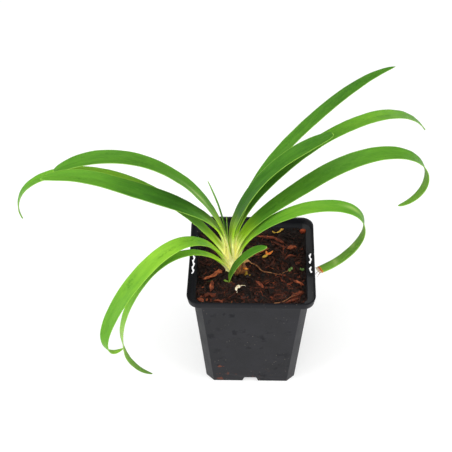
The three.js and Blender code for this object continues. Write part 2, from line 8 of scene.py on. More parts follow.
import json
import logging
import math
from dataclasses import dataclass, field
from enum import Enum

import bmesh
import bpy
import numpy as np
from mathutils import Matrix, Vector


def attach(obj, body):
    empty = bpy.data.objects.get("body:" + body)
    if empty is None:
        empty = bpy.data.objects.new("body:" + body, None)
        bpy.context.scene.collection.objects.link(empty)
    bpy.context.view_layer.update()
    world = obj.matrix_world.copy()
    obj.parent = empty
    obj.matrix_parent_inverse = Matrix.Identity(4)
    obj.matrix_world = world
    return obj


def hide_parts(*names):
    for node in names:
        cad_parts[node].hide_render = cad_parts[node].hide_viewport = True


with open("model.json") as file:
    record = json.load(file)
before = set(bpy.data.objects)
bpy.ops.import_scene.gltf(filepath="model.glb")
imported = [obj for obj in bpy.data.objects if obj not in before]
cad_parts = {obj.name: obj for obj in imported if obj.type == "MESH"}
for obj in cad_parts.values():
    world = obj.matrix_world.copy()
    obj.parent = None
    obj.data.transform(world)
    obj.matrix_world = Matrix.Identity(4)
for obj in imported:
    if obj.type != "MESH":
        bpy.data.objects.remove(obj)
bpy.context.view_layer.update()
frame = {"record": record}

LOG = logging.getLogger("agapanthus")
SLOTS = {part["node"]: part["material_slot"] for part in frame["record"]["subparts"]}
METRES = 0.001
ROOT = "root"

Array = np.ndarray
Values = dict[str, Array | float]
Colour = tuple[float, float, float]
Spot = tuple[float, float, float]
Stops = tuple[tuple[float, Colour], ...]
Rows = tuple[tuple[float, ...], ...]
Material = bpy.types.Material
Piece = bpy.types.Object
Socket = bpy.types.NodeSocket


# ---- curves and noise


def smooth(share: Array | float) -> Array | float:
    """Ease a share from 0 to 1, flat at both ends."""
    held = np.clip(share, 0, 1)
    return held * held * (3 - 2 * held)


def mix(low: Array | float, high: Array | float, share: Array | float) -> Array:
    """Go a share of the way from one value to another."""
    return low + (high - low) * share


def through(values: tuple[float, ...], share: Array) -> Array:
    """Follow a Catmull-Rom curve through evenly spaced values.

    Args:
        values: The values, first to last.
        share: Places along them, from 0 to 1.

    Returns:
        The curve's value at each place.
    """
    knots = np.asarray(values, float)
    last = len(knots) - 1
    padded = np.concatenate(([2 * knots[0] - knots[1]], knots, [2 * knots[-1] - knots[-2]]))
    place = np.clip(np.asarray(share) * last, 0, last - 1e-9)
    index = np.floor(place).astype(int)
    u = place - index
    a, b, c, d = (padded[index + step] for step in range(4))
    bend = (2 * a - 5 * b + 4 * c - d) * u**2 + (3 * b - a - 3 * c + d) * u**3
    return 0.5 * (2 * b + (c - a) * u + bend)


def unit(vectors: Array) -> Array:
    """Bring vectors, along the last axis, to length one."""
    return vectors / np.maximum(np.linalg.norm(vectors, axis=-1, keepdims=True), 1e-9)


def path_through(spots: list[Spot], count: int) -> Array:
    """Follow a centripetal Catmull-Rom curve through a few spots.

    Args:
        spots: The points that the path goes through.
        count: How many points to return.

    Returns:
        Points along the path, spaced evenly in the curve's own measure.
    """
    knots = np.asarray(spots, float)
    ends = np.stack([2 * knots[0] - knots[1], 2 * knots[-1] - knots[-2]])
    padded = np.concatenate((ends[:1], knots, ends[1:]))
    gaps = np.linalg.norm(np.diff(padded, axis=0), axis=1) ** 0.5
    place = np.clip(np.linspace(0, len(knots) - 1, count), 0, len(knots) - 1 - 1e-9)
    index = np.floor(place).astype(int)
    u = (place - index)[:, None]
    p0, p1, p2, p3 = (padded[index + step] for step in range(4))
    g0, g1, g2 = (np.maximum(gaps[index + step], 1e-6)[:, None] for step in range(3))
    leave = ((p1 - p0) / g0 - (p2 - p0) / (g0 + g1) + (p2 - p1) / g1) * g1
    arrive = ((p2 - p1) / g1 - (p3 - p1) / (g1 + g2) + (p3 - p2) / g2) * g1
    cubic = (2 * p1 - 2 * p2 + leave + arrive) * u**3
    square = (-3 * p1 + 3 * p2 - 2 * leave - arrive) * u**2
    return cubic + square + leave * u + p1


class LatticeNoise:
    """Smooth seeded noise in space, from -1 to 1."""

    SIDE = 32

    def __init__(self, seed: int) -> None:
        """Draw the lattice, which the seed fixes."""
        self.table = np.random.default_rng(seed).uniform(-1, 1, (self.SIDE,) * 3)

    def at(self, points: Array, cell: float) -> Array:
        """Read the noise.

        Args:
            points: Places, with x, y and z along the last axis.
            cell: Size of one lattice cell, in the points' unit.

        Returns:
            One value for each place.
        """
        scaled = np.asarray(points, float) / cell
        corner = np.floor(scaled).astype(int)
        inside = smooth(scaled - corner)
        total = np.zeros(scaled.shape[:-1])
        for dx in (0, 1):
            for dy in (0, 1):
                for dz in (0, 1):
                    near = (corner + (dx, dy, dz)) % self.SIDE
                    weight = np.prod(np.where((dx, dy, dz), inside, 1 - inside), axis=-1)
                    total += weight * self.table[near[..., 0], near[..., 1], near[..., 2]]
        return total

    def layered(self, points: Array, cell: float, layers: int = 3) -> Array:
        """Read the noise in layers, each with half the cell and half the strength."""
        shifted = np.asarray(points, float)
        return sum(self.at(shifted + 7.3 * k, cell / 2**k) / 2**k for k in range(layers))


class SteadyDraws:
    """The small seeded generator that also lays out the mix in the frame."""

    WORD = 0xFFFFFFFF

    def __init__(self, seed: int) -> None:
        """Start the sequence, which the seed fixes."""
        self.state = seed

    def next(self) -> float:
        """Draw the next number, from 0 up to 1.

        Returns:
            The number.
        """
        self.state = (self.state + 0x6D2B79F5) & self.WORD
        mixed = ((self.state ^ (self.state >> 15)) * (1 | self.state)) & self.WORD
        mixed = (mixed + (((mixed ^ (mixed >> 7)) * (61 | mixed)) & self.WORD)) & self.WORD ^ mixed
        return ((mixed ^ (mixed >> 14)) & self.WORD) / 2**32

    def between(self, low: float, high: float) -> float:
        """Draw the next number between two limits."""
        return low + (high - low) * self.next()


# ---- meshes


def skin_quads(rows: int, columns: int) -> Array:
    """Number the quads of a skin round a stack of rings.

    Args:
        rows: How many rings there are.
        columns: Corners of each ring.

    Returns:
        Four corner numbers for each quad.
    """
    near = np.arange((rows - 1) * columns).reshape(rows - 1, columns)
    beside = np.roll(near, -1, axis=1)
    return np.stack([near, beside, beside + columns, near + columns], -1).reshape(-1, 4)


@dataclass
class MeshBuffer:
    """Mesh parts in millimetres, gathered with named values until they become one object."""

    points: list[Array] = field(default_factory=list)
    faces: list[tuple[int, ...]] = field(default_factory=list)
    values: dict[str, list[Array]] = field(default_factory=dict)
    count: int = 0

    def add(self, points: Array, faces: Array, values: Values | None = None) -> None:
        """Take in one part.

        Args:
            points: Its vertices.
            faces: Vertex numbers of each face, counted within this part.
            values: Named numbers or vectors, one for each vertex or one for all of them.
        """
        for name, value in (values or {}).items():
            given = np.asarray(value, float)
            if given.ndim == 0 or given.shape[0] != len(points):
                given = np.broadcast_to(given, (len(points),) + given.shape)
            self.values.setdefault(name, []).append(given)
        self.points.append(points)
        self.faces.extend(map(tuple, (np.asarray(faces) + self.count).tolist()))
        self.count += len(points)

    def add_prism(self, rings: Array) -> None:
        """Take in a skin over rings of equal length, with one flat face at each end.

        Args:
            rings: Points by ring, then round the ring.
        """
        rows, columns = rings.shape[:2]
        self.add(rings.reshape(-1, 3), skin_quads(rows, columns))
        last = self.count - columns
        first = self.count - rows * columns
        self.faces.append(tuple(range(first, first + columns))[::-1])
        self.faces.append(tuple(range(last, last + columns)))

    def add_loft(self, rings: Array, values: Values | None = None) -> None:
        """Take in a closed skin over rings of equal length, with a fan at each end.

        Args:
            rings: Points by ring, then round the ring.
            values: Named numbers, each for all rings and corners or one for the whole skin.
        """
        rows, columns = rings.shape[:2]
        first, last = rows * columns, rows * columns + 1
        ring = np.arange(columns)
        after = np.roll(ring, -1)
        start = np.stack([np.full(columns, first), after, ring], -1)
        tail = (rows - 1) * columns
        end = np.stack([np.full(columns, last), ring + tail, after + tail], -1)
        flat = rings.reshape(-1, 3)
        points = np.concatenate((flat, rings[[0, -1]].mean(axis=1)))
        spread: Values = {}
        for name, value in (values or {}).items():
            given = np.asarray(value, float)
            if given.ndim >= 2:
                own = given.reshape((rows * columns,) + given.shape[2:])
                spread[name] = np.concatenate((own, given[[0, -1]].mean(axis=1)))
            else:
                spread[name] = given
        self.add(points, skin_quads(rows, columns), spread)
        offset = self.count - len(points)
        self.faces.extend(map(tuple, (np.concatenate((start, end)) + offset).tolist()))

    def build(self, name: str, material: Material, crease: float = 40) -> Piece:
        """Make the object.

        Args:
            name: The piece's name.
            material: Its finish.
            crease: Edges sharper than this angle, in degrees, stay crisp.

        Returns:
            The new object, linked to the scene.
        """
        mesh = bpy.data.meshes.new(name)
        mesh.from_pydata((np.concatenate(self.points) * METRES).tolist(), [], self.faces)
        for key, parts in self.values.items():
            given = np.concatenate(parts)
            kind = "FLOAT_VECTOR" if given.ndim == 2 else "FLOAT"
            target = mesh.attributes.new(key, kind, "POINT")
            target.data.foreach_set("vector" if given.ndim == 2 else "value", given.ravel())
        return finish_mesh(name, mesh, material, crease)


def finish_mesh(name: str, mesh: bpy.types.Mesh, material: Material, crease: float) -> Piece:
    """Turn a mesh's faces outwards, smooth it and put it in the scene.

    Args:
        name: The piece's name.
        mesh: Its mesh, in metres.
        material: Its finish.
        crease: Edges sharper than this angle, in degrees, stay crisp.

    Returns:
        The new object.
    """
    work = bmesh.new()
    work.from_mesh(mesh)
    bmesh.ops.recalc_face_normals(work, faces=work.faces)
    work.to_mesh(mesh)
    work.free()
    mesh.polygons.foreach_set("use_smooth", [True] * len(mesh.polygons))
    mesh.set_sharp_from_angle(angle=math.radians(crease))
    mesh.materials.clear()
    mesh.materials.append(material)
    made = bpy.data.objects.new(name, mesh)
    bpy.context.scene.collection.objects.link(made)
    return made


def ring_frames(path: Array) -> tuple[Array, Array, Array]:
    """Work out upright frames along a path.

    Args:
        path: Points in order.

    Returns:
        The tangent, the level direction across and the raised direction at each point.
    """
    tangent = unit(np.gradient(path, axis=0))
    across = unit(np.cross(np.array([0.02, 0.03, 1.0]), tangent))
    return tangent, across, np.cross(tangent, across)


def rod_rings(path: Array, wide: Array, thick: Array, sides: int) -> Array:
    """Lay oval rings along a path.

    Args:
        path: Points in order.
        wide: Half width at each point.
        thick: Half thickness at each point.
        sides: Corners of each ring.

    Returns:
        Ring points, by ring and then by corner.
    """
    _, across, raised = ring_frames(path)
    angle = (np.arange(sides) + 0.5) * 2 * np.pi / sides
    out = np.cos(angle)[None, :, None] * across[:, None] * np.asarray(wide)[:, None, None]
    up = np.sin(angle)[None, :, None] * raised[:, None] * np.asarray(thick)[:, None, None]
    return path[:, None] + out + up


def wrapped_round(front: Array, back: Array) -> Array:
    """Join two faces, by row and then across, into rings over one and back under the other."""
    return np.concatenate((front, back[:, -2:0:-1]), axis=1)


# ---- shader building


def shade(red: int, green: int, blue: int) -> Colour:
    """Turn a screen colour, 0 to 255 a channel, into the linear colour that shaders take."""
    scaled = [channel / 255 for channel in (red, green, blue)]
    return tuple(c / 12.92 if c <= 0.04045 else ((c + 0.055) / 1.055) ** 2.4 for c in scaled)


class Shader:
    """A material's node tree, written as short calls that each return a socket."""

    def __init__(self, name: str) -> None:
        """Start a material with its main shader.

        Args:
            name: The material's name.
        """
        self.material = bpy.data.materials.new(name)
        self.material.use_nodes = True
        self.tree = self.material.node_tree
        self.surface = self.tree.nodes["Principled BSDF"]

    def put(self, socket: Socket, value: object) -> None:
        """Link a socket to another, or set its number or colour.

        Args:
            socket: The input to fill.
            value: A socket, a number or a tuple.
        """
        if isinstance(value, Socket):
            self.tree.links.new(value, socket)
        elif isinstance(value, tuple) and len(value) == 3 and socket.type == "RGBA":
            socket.default_value = (*value, 1)
        else:
            socket.default_value = value

    def node(self, kind: str, inputs: dict[object, object], **settings: object) -> bpy.types.Node:
        """Add a node.

        Args:
            kind: The node's type, without the ShaderNode in front.
            inputs: What goes into its inputs, by name or number.
            settings: Its properties.

        Returns:
            The node.
        """
        made = self.tree.nodes.new("ShaderNode" + kind)
        for name, value in settings.items():
            setattr(made, name, value)
        for key, value in inputs.items():
            self.put(made.inputs[key], value)
        return made

    def number(self, name: str) -> Socket:
        """Read a named number of the mesh."""
        return self.node("Attribute", {}, attribute_name=name).outputs["Fac"]

    def vector(self, name: str) -> Socket:
        """Read a named vector of the mesh."""
        return self.node("Attribute", {}, attribute_name=name).outputs["Vector"]

    def place(self) -> Socket:
        """Read the place on the object, in millimetres."""
        return self.stretched(self.node("TexCoord", {}).outputs["Object"], (1000, 1000, 1000))

    def stretched(self, vector: object, factors: tuple[float, float, float]) -> Socket:
        """Multiply a vector, axis by axis."""
        return self.node("VectorMath", {0: vector, 1: factors}, operation="MULTIPLY").outputs[0]

    def combined(self, x: object, y: object, z: object) -> Socket:
        """Make a vector of three numbers."""
        return self.node("CombineXYZ", {0: x, 1: y, 2: z}).outputs[0]

    def noise(self, vector: object, scale: float, detail: float = 3, rough: float = 0.55) -> Socket:
        """Read cloudy noise, from 0 to 1, with some finer layers of a given strength."""
        given = {"Vector": vector, "Scale": scale, "Detail": detail, "Roughness": rough}
        return self.node("TexNoise", given).outputs[0]

    def cells(self, vector: object, scale: float) -> Socket:
        """Read the distance, in cells, to the nearest of many scattered points."""
        return self.node("TexVoronoi", {"Vector": vector, "Scale": scale}).outputs["Distance"]

    def math(self, operation: str, a: object, b: object = 0.0) -> Socket:
        """Do one sum on numbers."""
        return self.node("Math", {0: a, 1: b}, operation=operation).outputs[0]

    def times(self, a: object, b: object) -> Socket:
        """Multiply two numbers."""
        return self.math("MULTIPLY", a, b)

    def centred(self, value: object, strength: float) -> Socket:
        """Shift a number that lies around a half to lie around nought, and scale it."""
        return self.times(self.math("SUBTRACT", value, 0.5), strength)

    def ranged(self, value: object, low: float, high: float, start: float = 0, end: float = 1) -> Socket:
        """Map a number's range smoothly to another.

        Args:
            value: The number.
            low: Where the change begins.
            high: Where it ends.
            start: The result at low and before it.
            end: The result at high and past it.

        Returns:
            The mapped number.
        """
        flipped = low > high
        if flipped:
            low, high, start, end = high, low, end, start
        given = {0: value, 1: low, 2: high, 3: start, 4: end}
        return self.node("MapRange", given, interpolation_type="SMOOTHSTEP").outputs[0]

    def blend(self, factor: object, a: object, b: object) -> Socket:
        """Blend the second colour into the first."""
        return self.node("Mix", {0: factor, 6: a, 7: b}, data_type="RGBA").outputs[2]

    def spots(self, place: object, cloud: object, spots: Rows) -> Socket:
        """Mark ragged spots at given places.

        Args:
            place: The place on the object.
            cloud: Noise that makes their edges ragged.
            spots: Their x, y, z, radius and strength.

        Returns:
            The strongest spot's strength.
        """
        ragged = self.centred(cloud, 9)
        marked: object = 0.0
        for x, y, z, radius, strength in spots:
            away = self.node("VectorMath", {0: place, 1: (x, y, z)}, operation="DISTANCE").outputs["Value"]
            spot = self.ranged(self.math("ADD", away, ragged), radius * 1.2, radius * 0.4, 0, strength)
            marked = self.math("MAXIMUM", spot, marked)
        return marked

    def ramp(self, factor: object, stops: Stops) -> Socket:
        """Turn a number into a colour.

        Args:
            factor: The number, from 0 to 1.
            stops: Places and their colours, in order.

        Returns:
            The colour.
        """
        made = self.node("ValToRGB", {0: factor})
        elements = made.color_ramp.elements
        while len(elements) < len(stops):
            elements.new(1)
        for element, (place, colour) in zip(elements, stops):
            element.position = place
            element.color = (*colour, 1)
        return made.outputs[0]

    def bump(self, height: object, distance: float, strength: float = 1, under: object = None) -> Socket:
        """Raise the surface by a height map.

        Args:
            height: The height, as a share of the distance.
            distance: What a height of one stands for, in millimetres.
            strength: How much of it shows.
            under: A bump that this one lies on.

        Returns:
            The bumped normal.
        """
        given = {"Height": height, "Distance": distance * METRES, "Strength": strength}
        if under is not None:
            given["Normal"] = under
        return self.node("Bump", given).outputs[0]

    def done(self, colour: object, roughness: object, normal: object, **fixed: object) -> Material:
        """Fill the main shader.

        Args:
            colour: Base colour.
            roughness: Roughness.
            normal: Bumped normal.
            fixed: Numbers that are the same all over, by input name with _ for spaces.

        Returns:
            The finished material.
        """
        self.put(self.surface.inputs["Base Color"], colour)
        self.put(self.surface.inputs["Roughness"], roughness)
        self.put(self.surface.inputs["Normal"], normal)
        for name, value in fixed.items():
            self.put(self.surface.inputs[name.replace("_", " ")], value)
        return self.material


# ---- finishes


@dataclass(frozen=True)
class PlasticFinish:
    """Black injection-moulded plastic with a fine matt grain, dust and smears of wet soil.

    Spots are given by x, y, z, radius and strength. Painted highlights lighten the corner facets, the
    right-hand ledge and the rim's lip, and painted shade darkens the front of the rim's top.
    """

    body: Colour = shade(36, 36, 39)
    worn: Colour = shade(46, 46, 50)
    # Damp stains; the same colour also darkens the rim band and paints the shade on the front of the rim's
    # top.
    wet: Colour = shade(12, 13, 19)
    # Colour of the painted highlight along the rim's lip.
    edge: Colour = shade(92, 93, 96)
    dust: Colour = shade(120, 112, 100)
    smear: Colour = shade(104, 56, 38)
    # Painted highlight on the chamfered corner facets and the right-hand ledge.
    painted_highlight: Colour = shade(58, 58, 60)
    damp_spots: Rows = (
        (-13.9, -39.4, 77.1, 2.6, 0.9), (-27, -39.3, 76.9, 2.2, 0.5), (-30.6, -38.8, 69.8, 2, 0.6),
        (-23.5, -38, 60.9, 2.4, 0.4), (-11.9, -37.8, 57.9, 2.3, 0.7), (-28.8, -37.4, 53.4, 2.4, 0.7),
        (14.5, -38.4, 65.5, 1.2, 0.8), (8.8, -37.2, 51.1, 1.5, 0.8), (25.4, -35.6, 32.2, 3.4, 0.5),
        (-24.8, -36, 36.6, 3, 0.5), (-18.3, -39.6, 79.6, 1.5, 0.8),
    )
    smears: Rows = (
        (-21.7, -34.3, 17, 1, 0.9), (-16.7, -33.6, 8.8, 1.6, 0.6), (-22.5, -33.1, 2.4, 1.8, 0.8),
    )

    def material(self) -> Material:
        """Build the material.

        Returns:
            The finished material.
        """
        s = Shader("pot_plastic")
        place = s.place()
        cloudy = s.noise(place, 0.07, 4, 0.6)
        ragged = s.noise(place, 0.3, 3, 0.6)
        colour = s.blend(s.ranged(cloudy, 0.35, 0.7, 0, 0.6), self.body, self.worn)
        across, deep, height = s.node("SeparateXYZ", {0: place}).outputs
        facing = s.node("NewGeometry", {}).outputs["Normal"]
        sideways, back, upward = s.node("SeparateXYZ", {0: facing}).outputs
        # Painted highlight on the corner facets, and on the upward faces of the right-hand ledge.
        corner = s.math("ABSOLUTE", s.times(sideways, back))
        ledge = s.times(s.ranged(upward, 0.6, 0.9), s.ranged(height, 93, 91))
        ledge = s.times(ledge, s.ranged(across, 37, 38, 0, 0.75))
        ledge = s.times(ledge, s.ranged(s.math("ABSOLUTE", deep), 10, 14))
        colour = s.blend(s.ranged(corner, 0.25, 0.4, 0, 0.4), colour, self.painted_highlight)
        sparse = s.noise(place, 0.035, 1)
        clumped = s.ranged(s.noise(s.stretched(place, (1, 1, 1.4)), 0.17, 4, 0.62), 0.56, 0.66, 0, 0.6)
        damp = s.times(clumped, s.ranged(sparse, 0.4, 0.6, 0, 1))
        damp = s.math("MAXIMUM", damp, s.spots(place, ragged, self.damp_spots))
        # Rim band darkened above 88.5 mm, less at the right; painted shade on the front of the rim's top, the
        # gap between the mix and the rim.
        rim = s.times(s.ranged(height, 88.5, 90, 0, 0.68), s.ranged(across, 34, 42, 1, 0.5))
        top = s.times(s.ranged(height, 94.2, 94.9, 0, 0.95), s.ranged(deep, -24, -36))
        colour = s.blend(s.math("MAXIMUM", damp, s.math("MAXIMUM", rim, top)), colour, self.wet)
        colour = s.blend(ledge, colour, self.painted_highlight)
        # Painted highlight along the rim's lip, away from the front.
        lip = s.times(s.ranged(height, 94.6, 95), s.ranged(height, 95.35, 95.2))
        lip = s.times(lip, s.ranged(deep, -20, 10))
        colour = s.blend(s.times(lip, s.ranged(ragged, 0.35, 0.6, 0.2, 0.8)), colour, self.edge)
        specks = s.ranged(s.cells(place, 0.3), 0.12, 0.04)
        specks = s.times(specks, s.ranged(sparse, 0.4, 0.55, 0.1, 0.7))
        colour = s.blend(specks, colour, self.dust)
        soiled = s.ranged(s.noise(s.stretched(place, (0.8, 0.8, 1.5)), 0.36, 4, 0.65), 0.64, 0.7, 0, 0.5)
        soiled = s.times(soiled, s.ranged(height, 26, 4, 0.05, 1))
        colour = s.blend(s.math("MAXIMUM", soiled, s.spots(place, ragged, self.smears)), colour, self.smear)
        flow = s.noise(s.stretched(place, (0.5, 0.5, 0.06)), 1, 3, 0.5)
        normal = s.bump(s.noise(place, 5, 3, 0.7), 0.035, 0.7, s.bump(flow, 0.12, 0.5))
        roughness = s.math("ADD", s.ranged(cloudy, 0.3, 0.7, 0.4, 0.52), s.times(damp, -0.06))
        return s.done(colour, roughness, normal, Specular_IOR_Level=0.12)


class LeafTone(Enum):
    """How far a leaf has greened; the value is its material slot."""

    MATURE = "leaf"
    BRIGHT = "leaf_bright"
    DARK = "leaf_dark"


@dataclass(frozen=True)
class LeafFinish:
    """Satin strap leaf: fine parallel veins, pale base and small bruises, with painted highlights on its
    thin light margins and creases, painted light and shade along it and a faint painted glow at its base.

    The mesh gives `lengthwise` and `crosswise` in millimetres, `glow` from 0,
    deep green in painted shade, to 1, lit young green, `edge` from 0 at the middle to 1 at the
    margin, `green` from 0 at the sheath to 1 where the blade has greened, and `underside`,
    `bruise`, `crease` and `dry` from 0 to 1.
    """

    tone: LeafTone
    greens: Stops = (
        (0.0, shade(30, 60, 17)), (0.3, shade(55, 103, 28)),
        (0.62, shade(93, 149, 42)), (1.0, shade(144, 194, 52)),
    )
    dried: Stops = (
        (0.22, shade(190, 186, 50)), (0.46, shade(212, 92, 30)),
        (0.72, shade(170, 84, 44)), (0.95, shade(236, 216, 190)),
    )
    # Colour of the light margins, a painted highlight along the leaf's edges and tip.
    margin: Colour = shade(166, 206, 88)
    lime: Colour = shade(166, 206, 44)
    cream: Colour = shade(255, 250, 170)
    fleck: Colour = shade(40, 66, 16)
    back: Colour = shade(150, 186, 86)
    rust: Colour = shade(150, 110, 50)
    tan: Colour = shade(206, 178, 108)
    # Colour of the bruises, and of the painted shade on a bent leaf's lower side.
    bruise: Colour = shade(48, 104, 14)
    # Colour of the painted highlight along creases and folds.
    crease: Colour = shade(190, 212, 124)
    vein_gap: float = 0.62

    def material(self) -> Material:
        """Build the material.

        Returns:
            The finished material.
        """
        s = Shader(self.tone.value)
        lengthwise, crosswise, edge = s.number("lengthwise"), s.number("crosswise"), s.number("edge")
        flat = s.combined(lengthwise, crosswise, s.number("own"))
        mottle = s.noise(s.stretched(flat, (0.07, 0.3, 1)), 1, 4, 0.6)
        streak = s.noise(s.stretched(flat, (0.025, 2.2, 1)), 1, 2, 0.6)
        wander = s.times(s.noise(s.stretched(flat, (0.05, 0.6, 1)), 1, 1), 2.2)
        phase = s.math("ADD", s.times(crosswise, 2 * math.pi / self.vein_gap), wander)
        veins = s.ranged(s.math("SINE", phase), -1, 1)
        # The leaf's own green with its painted light and shade, from deep green in shade to lit young green,
        # with noise and veins on top.
        glow = s.number("glow")
        for part, strength in ((mottle, 0.28), (streak, 0.24), (veins, 0.09)):
            glow = s.math("ADD", glow, s.centred(part, strength))
        colour = s.ramp(glow, self.greens)
        near = s.cells(s.stretched(flat, (0.28, 0.5, 1)), 1)
        sparse = s.noise(s.stretched(flat, (0.05, 0.09, 1)), 1, 1)
        flecks = s.times(s.ranged(near, 0.13, 0.04), s.ranged(sparse, 0.5, 0.6, 0, 0.6))
        colour = s.blend(flecks, colour, self.fleck)
        under = s.number("underside")
        colour = s.blend(s.times(under, 0.28), colour, self.back)
        # Painted highlight along the margins.
        colour = s.blend(s.ranged(edge, 0.89, 0.99, 0, 0.5), colour, self.margin)
        green = s.math("ADD", s.number("green"), s.centred(streak, 0.9))
        colour = s.blend(s.ranged(green, 1.2, 0.35, 0, 0.92), colour, self.lime)
        colour = s.blend(s.ranged(green, 0.5, -0.15, 0, 0.97), colour, self.cream)
        patchy = s.noise(s.stretched(flat, (0.16, 0.8, 1)), 1, 3, 0.6)
        rusty = s.times(s.ranged(green, 0.2, -0.6), s.ranged(patchy, 0.58, 0.7, 0, 0.25))
        colour = s.blend(s.times(rusty, s.ranged(edge, 0.3, 0.95, 0.3, 1)), colour, self.rust)
        colour = s.blend(s.ranged(green, -0.95, -1.7, 0, 0.4), colour, self.tan)
        patchy = s.noise(s.stretched(flat, (0.4, 0.6, 1)), 1, 3, 0.65)
        # Bruises, and painted shade where a mark stands for the shaded side of a fold.
        bruise_and_shade_patches = s.times(s.number("bruise"), s.ranged(patchy, 0.41, 0.59, 0, 0.65))
        colour = s.blend(bruise_and_shade_patches, colour, self.bruise)
        # Painted highlight along creases and folds.
        colour = s.blend(s.times(s.number("crease"), 0.5), colour, self.crease)
        frayed = s.math("ADD", s.number("dry"), s.centred(streak, 0.9))
        drying = s.times(s.ranged(s.number("dry"), 0.02, 0.12), s.ranged(frayed, 0.12, 0.3))
        colour = s.blend(drying, colour, s.ramp(frayed, self.dried))
        normal = s.bump(veins, 0.03, 0.6, s.bump(streak, 0.1, 0.55, s.bump(mottle, 0.25, 0.4)))
        roughness = s.math("ADD", s.ranged(streak, 0.3, 0.7, 0.4, 0.5), s.times(under, 0.12))
        # Painted glow: the cream bases give off a little of their colour as light, to brighten the shaded
        # neck.
        lit = s.blend(s.ranged(green, 0.5, -0.15), (0.0, 0.0, 0.0), self.cream)
        return s.done(colour, roughness, normal, Specular_IOR_Level=0.09, Subsurface_Weight=0.18,
                      Subsurface_Radius=(0.6, 1.0, 0.2), Subsurface_Scale=0.0015, Emission_Color=lit,
                      Emission_Strength=0.09)


@dataclass(frozen=True)
class SheathFinish:
    """Moist pale leaf bases, ribbed along their length and stained brown here and there."""

    cream: Colour = shade(255, 252, 184)
    green: Colour = shade(234, 234, 130)
    stain: Colour = shade(150, 110, 60)

    def material(self) -> Material:
        """Build the material.

        Returns:
            The finished material.
        """
        s = Shader("leaf_sheath")
        place = s.place()
        height = s.node("SeparateXYZ", {0: place}).outputs[2]
        ribs = s.noise(s.stretched(place, (2.2, 2.2, 0.09)), 1, 3, 0.6)
        colour = s.blend(s.ranged(ribs, 0.35, 0.65), self.cream, self.green)
        stains = s.noise(s.stretched(place, (0.5, 0.5, 0.25)), 1, 4, 0.6)
        low = s.ranged(height, 92, 81, 0.05, 0.9)
        colour = s.blend(s.times(s.ranged(stains, 0.52, 0.68), low), colour, self.stain)
        normal = s.bump(ribs, 0.15, 0.8)
        return s.done(colour, s.ranged(ribs, 0.3, 0.7, 0.38, 0.55), normal, Specular_IOR_Level=0.35,
                      Subsurface_Weight=0.2, Subsurface_Radius=(0.9, 0.9, 0.4), Subsurface_Scale=0.0015)


@dataclass(frozen=True)
class BarkFinish:
    """Composted bark and peat: grained along each piece, near black where its tint is low, which the
    mix lowers in damp patches and in painted shade.

    The mesh gives `tint` from 0, black peat, to 1, fresh bark, and `grain`, the place on the
    piece in millimetres with its length first.
    """

    name: str = "potting_mix"
    tones: Stops = (
        (0.0, shade(14, 9, 8)), (0.3, shade(36, 20, 15)), (0.55, shade(68, 34, 23)),
        (0.78, shade(112, 52, 33)), (1.0, shade(178, 96, 60)),
    )
    roughness: float = 0.8

    def material(self) -> Material:
        """Build the material.

        Returns:
            The finished material.
        """
        s = Shader(self.name)
        grain = s.vector("grain")
        lines = s.noise(s.stretched(grain, (0.16, 1.5, 1.5)), 1, 4, 0.7)
        patch = s.noise(grain, 0.42, 3, 0.6)
        tint = s.math("ADD", s.number("tint"), s.centred(lines, 1.0))
        tint = s.math("ADD", tint, s.centred(patch, 0.9))
        colour = s.ramp(tint, self.tones)
        normal = s.bump(lines, 0.3, 0.9, s.bump(patch, 0.5, 0.6))
        wet = s.ranged(patch, 0.35, 0.6, self.roughness - 0.3, self.roughness)
        return s.done(colour, wet, normal, Specular_IOR_Level=0.22)


@dataclass(frozen=True)
class HuskFinish:
    """Dry papery or fibrous skin: streaked lengthwise, with flaking patches and a band of painted shade round
    its foot, where one is set.

    The mesh gives `grain`, the place on the piece in millimetres with its length first.
    """

    name: str
    pale: Colour
    deep: Colour
    accent: Colour
    roughness: float = 0.7
    soft: float = 0.05
    # Painted shade towards the foot: its strength, the height where it begins and where it is full.
    foot_shade: float = 0.0
    foot_shade_top: float = 90.7
    foot_shade_low: float = 85.6
    # Colour of that painted shade.
    wet: Colour = shade(26, 15, 11)

    def material(self) -> Material:
        """Build the material.

        Returns:
            The finished material.
        """
        s = Shader(self.name)
        grain = s.vector("grain")
        streak = s.noise(s.stretched(grain, (0.3, 2.6, 2.6)), 1, 4, 0.6)
        patch = s.noise(grain, 0.55, 3, 0.55)
        colour = s.blend(s.ranged(streak, 0.35, 0.65), self.deep, self.pale)
        colour = s.blend(s.ranged(patch, 0.55, 0.72, 0, 0.8), colour, self.accent)
        # Painted shade: darker towards the foot, where the piece meets the bed.
        height = s.node("SeparateXYZ", {0: s.place()}).outputs[2]
        height = s.math("ADD", height, s.times(streak, -5))
        colour = s.blend(s.ranged(height, self.foot_shade_top, self.foot_shade_low, 0, self.foot_shade), colour, self.wet)
        normal = s.bump(streak, 0.2, 0.8, s.bump(patch, 0.3, 0.5))
        roughness = s.ranged(patch, 0.3, 0.7, self.roughness - 0.1, self.roughness + 0.1)
        return s.done(colour, roughness, normal, Specular_IOR_Level=0.4, Subsurface_Weight=self.soft,
                      Subsurface_Radius=(1.0, 0.7, 0.4), Subsurface_Scale=0.0008)


@dataclass(frozen=True)
class FloorFinish:
    """Lit white studio floor with a barely visible paper grain."""

    white: Colour = (0.46, 0.46, 0.46)
    fibre: Colour = (0.44, 0.44, 0.44)
    lit: float = 0.58

    def material(self) -> Material:
        """Build the material.

        Returns:
            The finished material.
        """
        s = Shader("studio_floor")
        fibre = s.noise(s.place(), 0.6, 3, 0.6)
        colour = s.blend(s.ranged(fibre, 0.3, 0.7, 0, 0.4), self.white, self.fibre)
        return s.done(colour, 0.9, s.bump(fibre, 0.05, 0.2), Specular_IOR_Level=0.1,
                      Emission_Color=(1.0, 1.0, 1.0, 1.0), Emission_Strength=self.lit)


# ---- studio


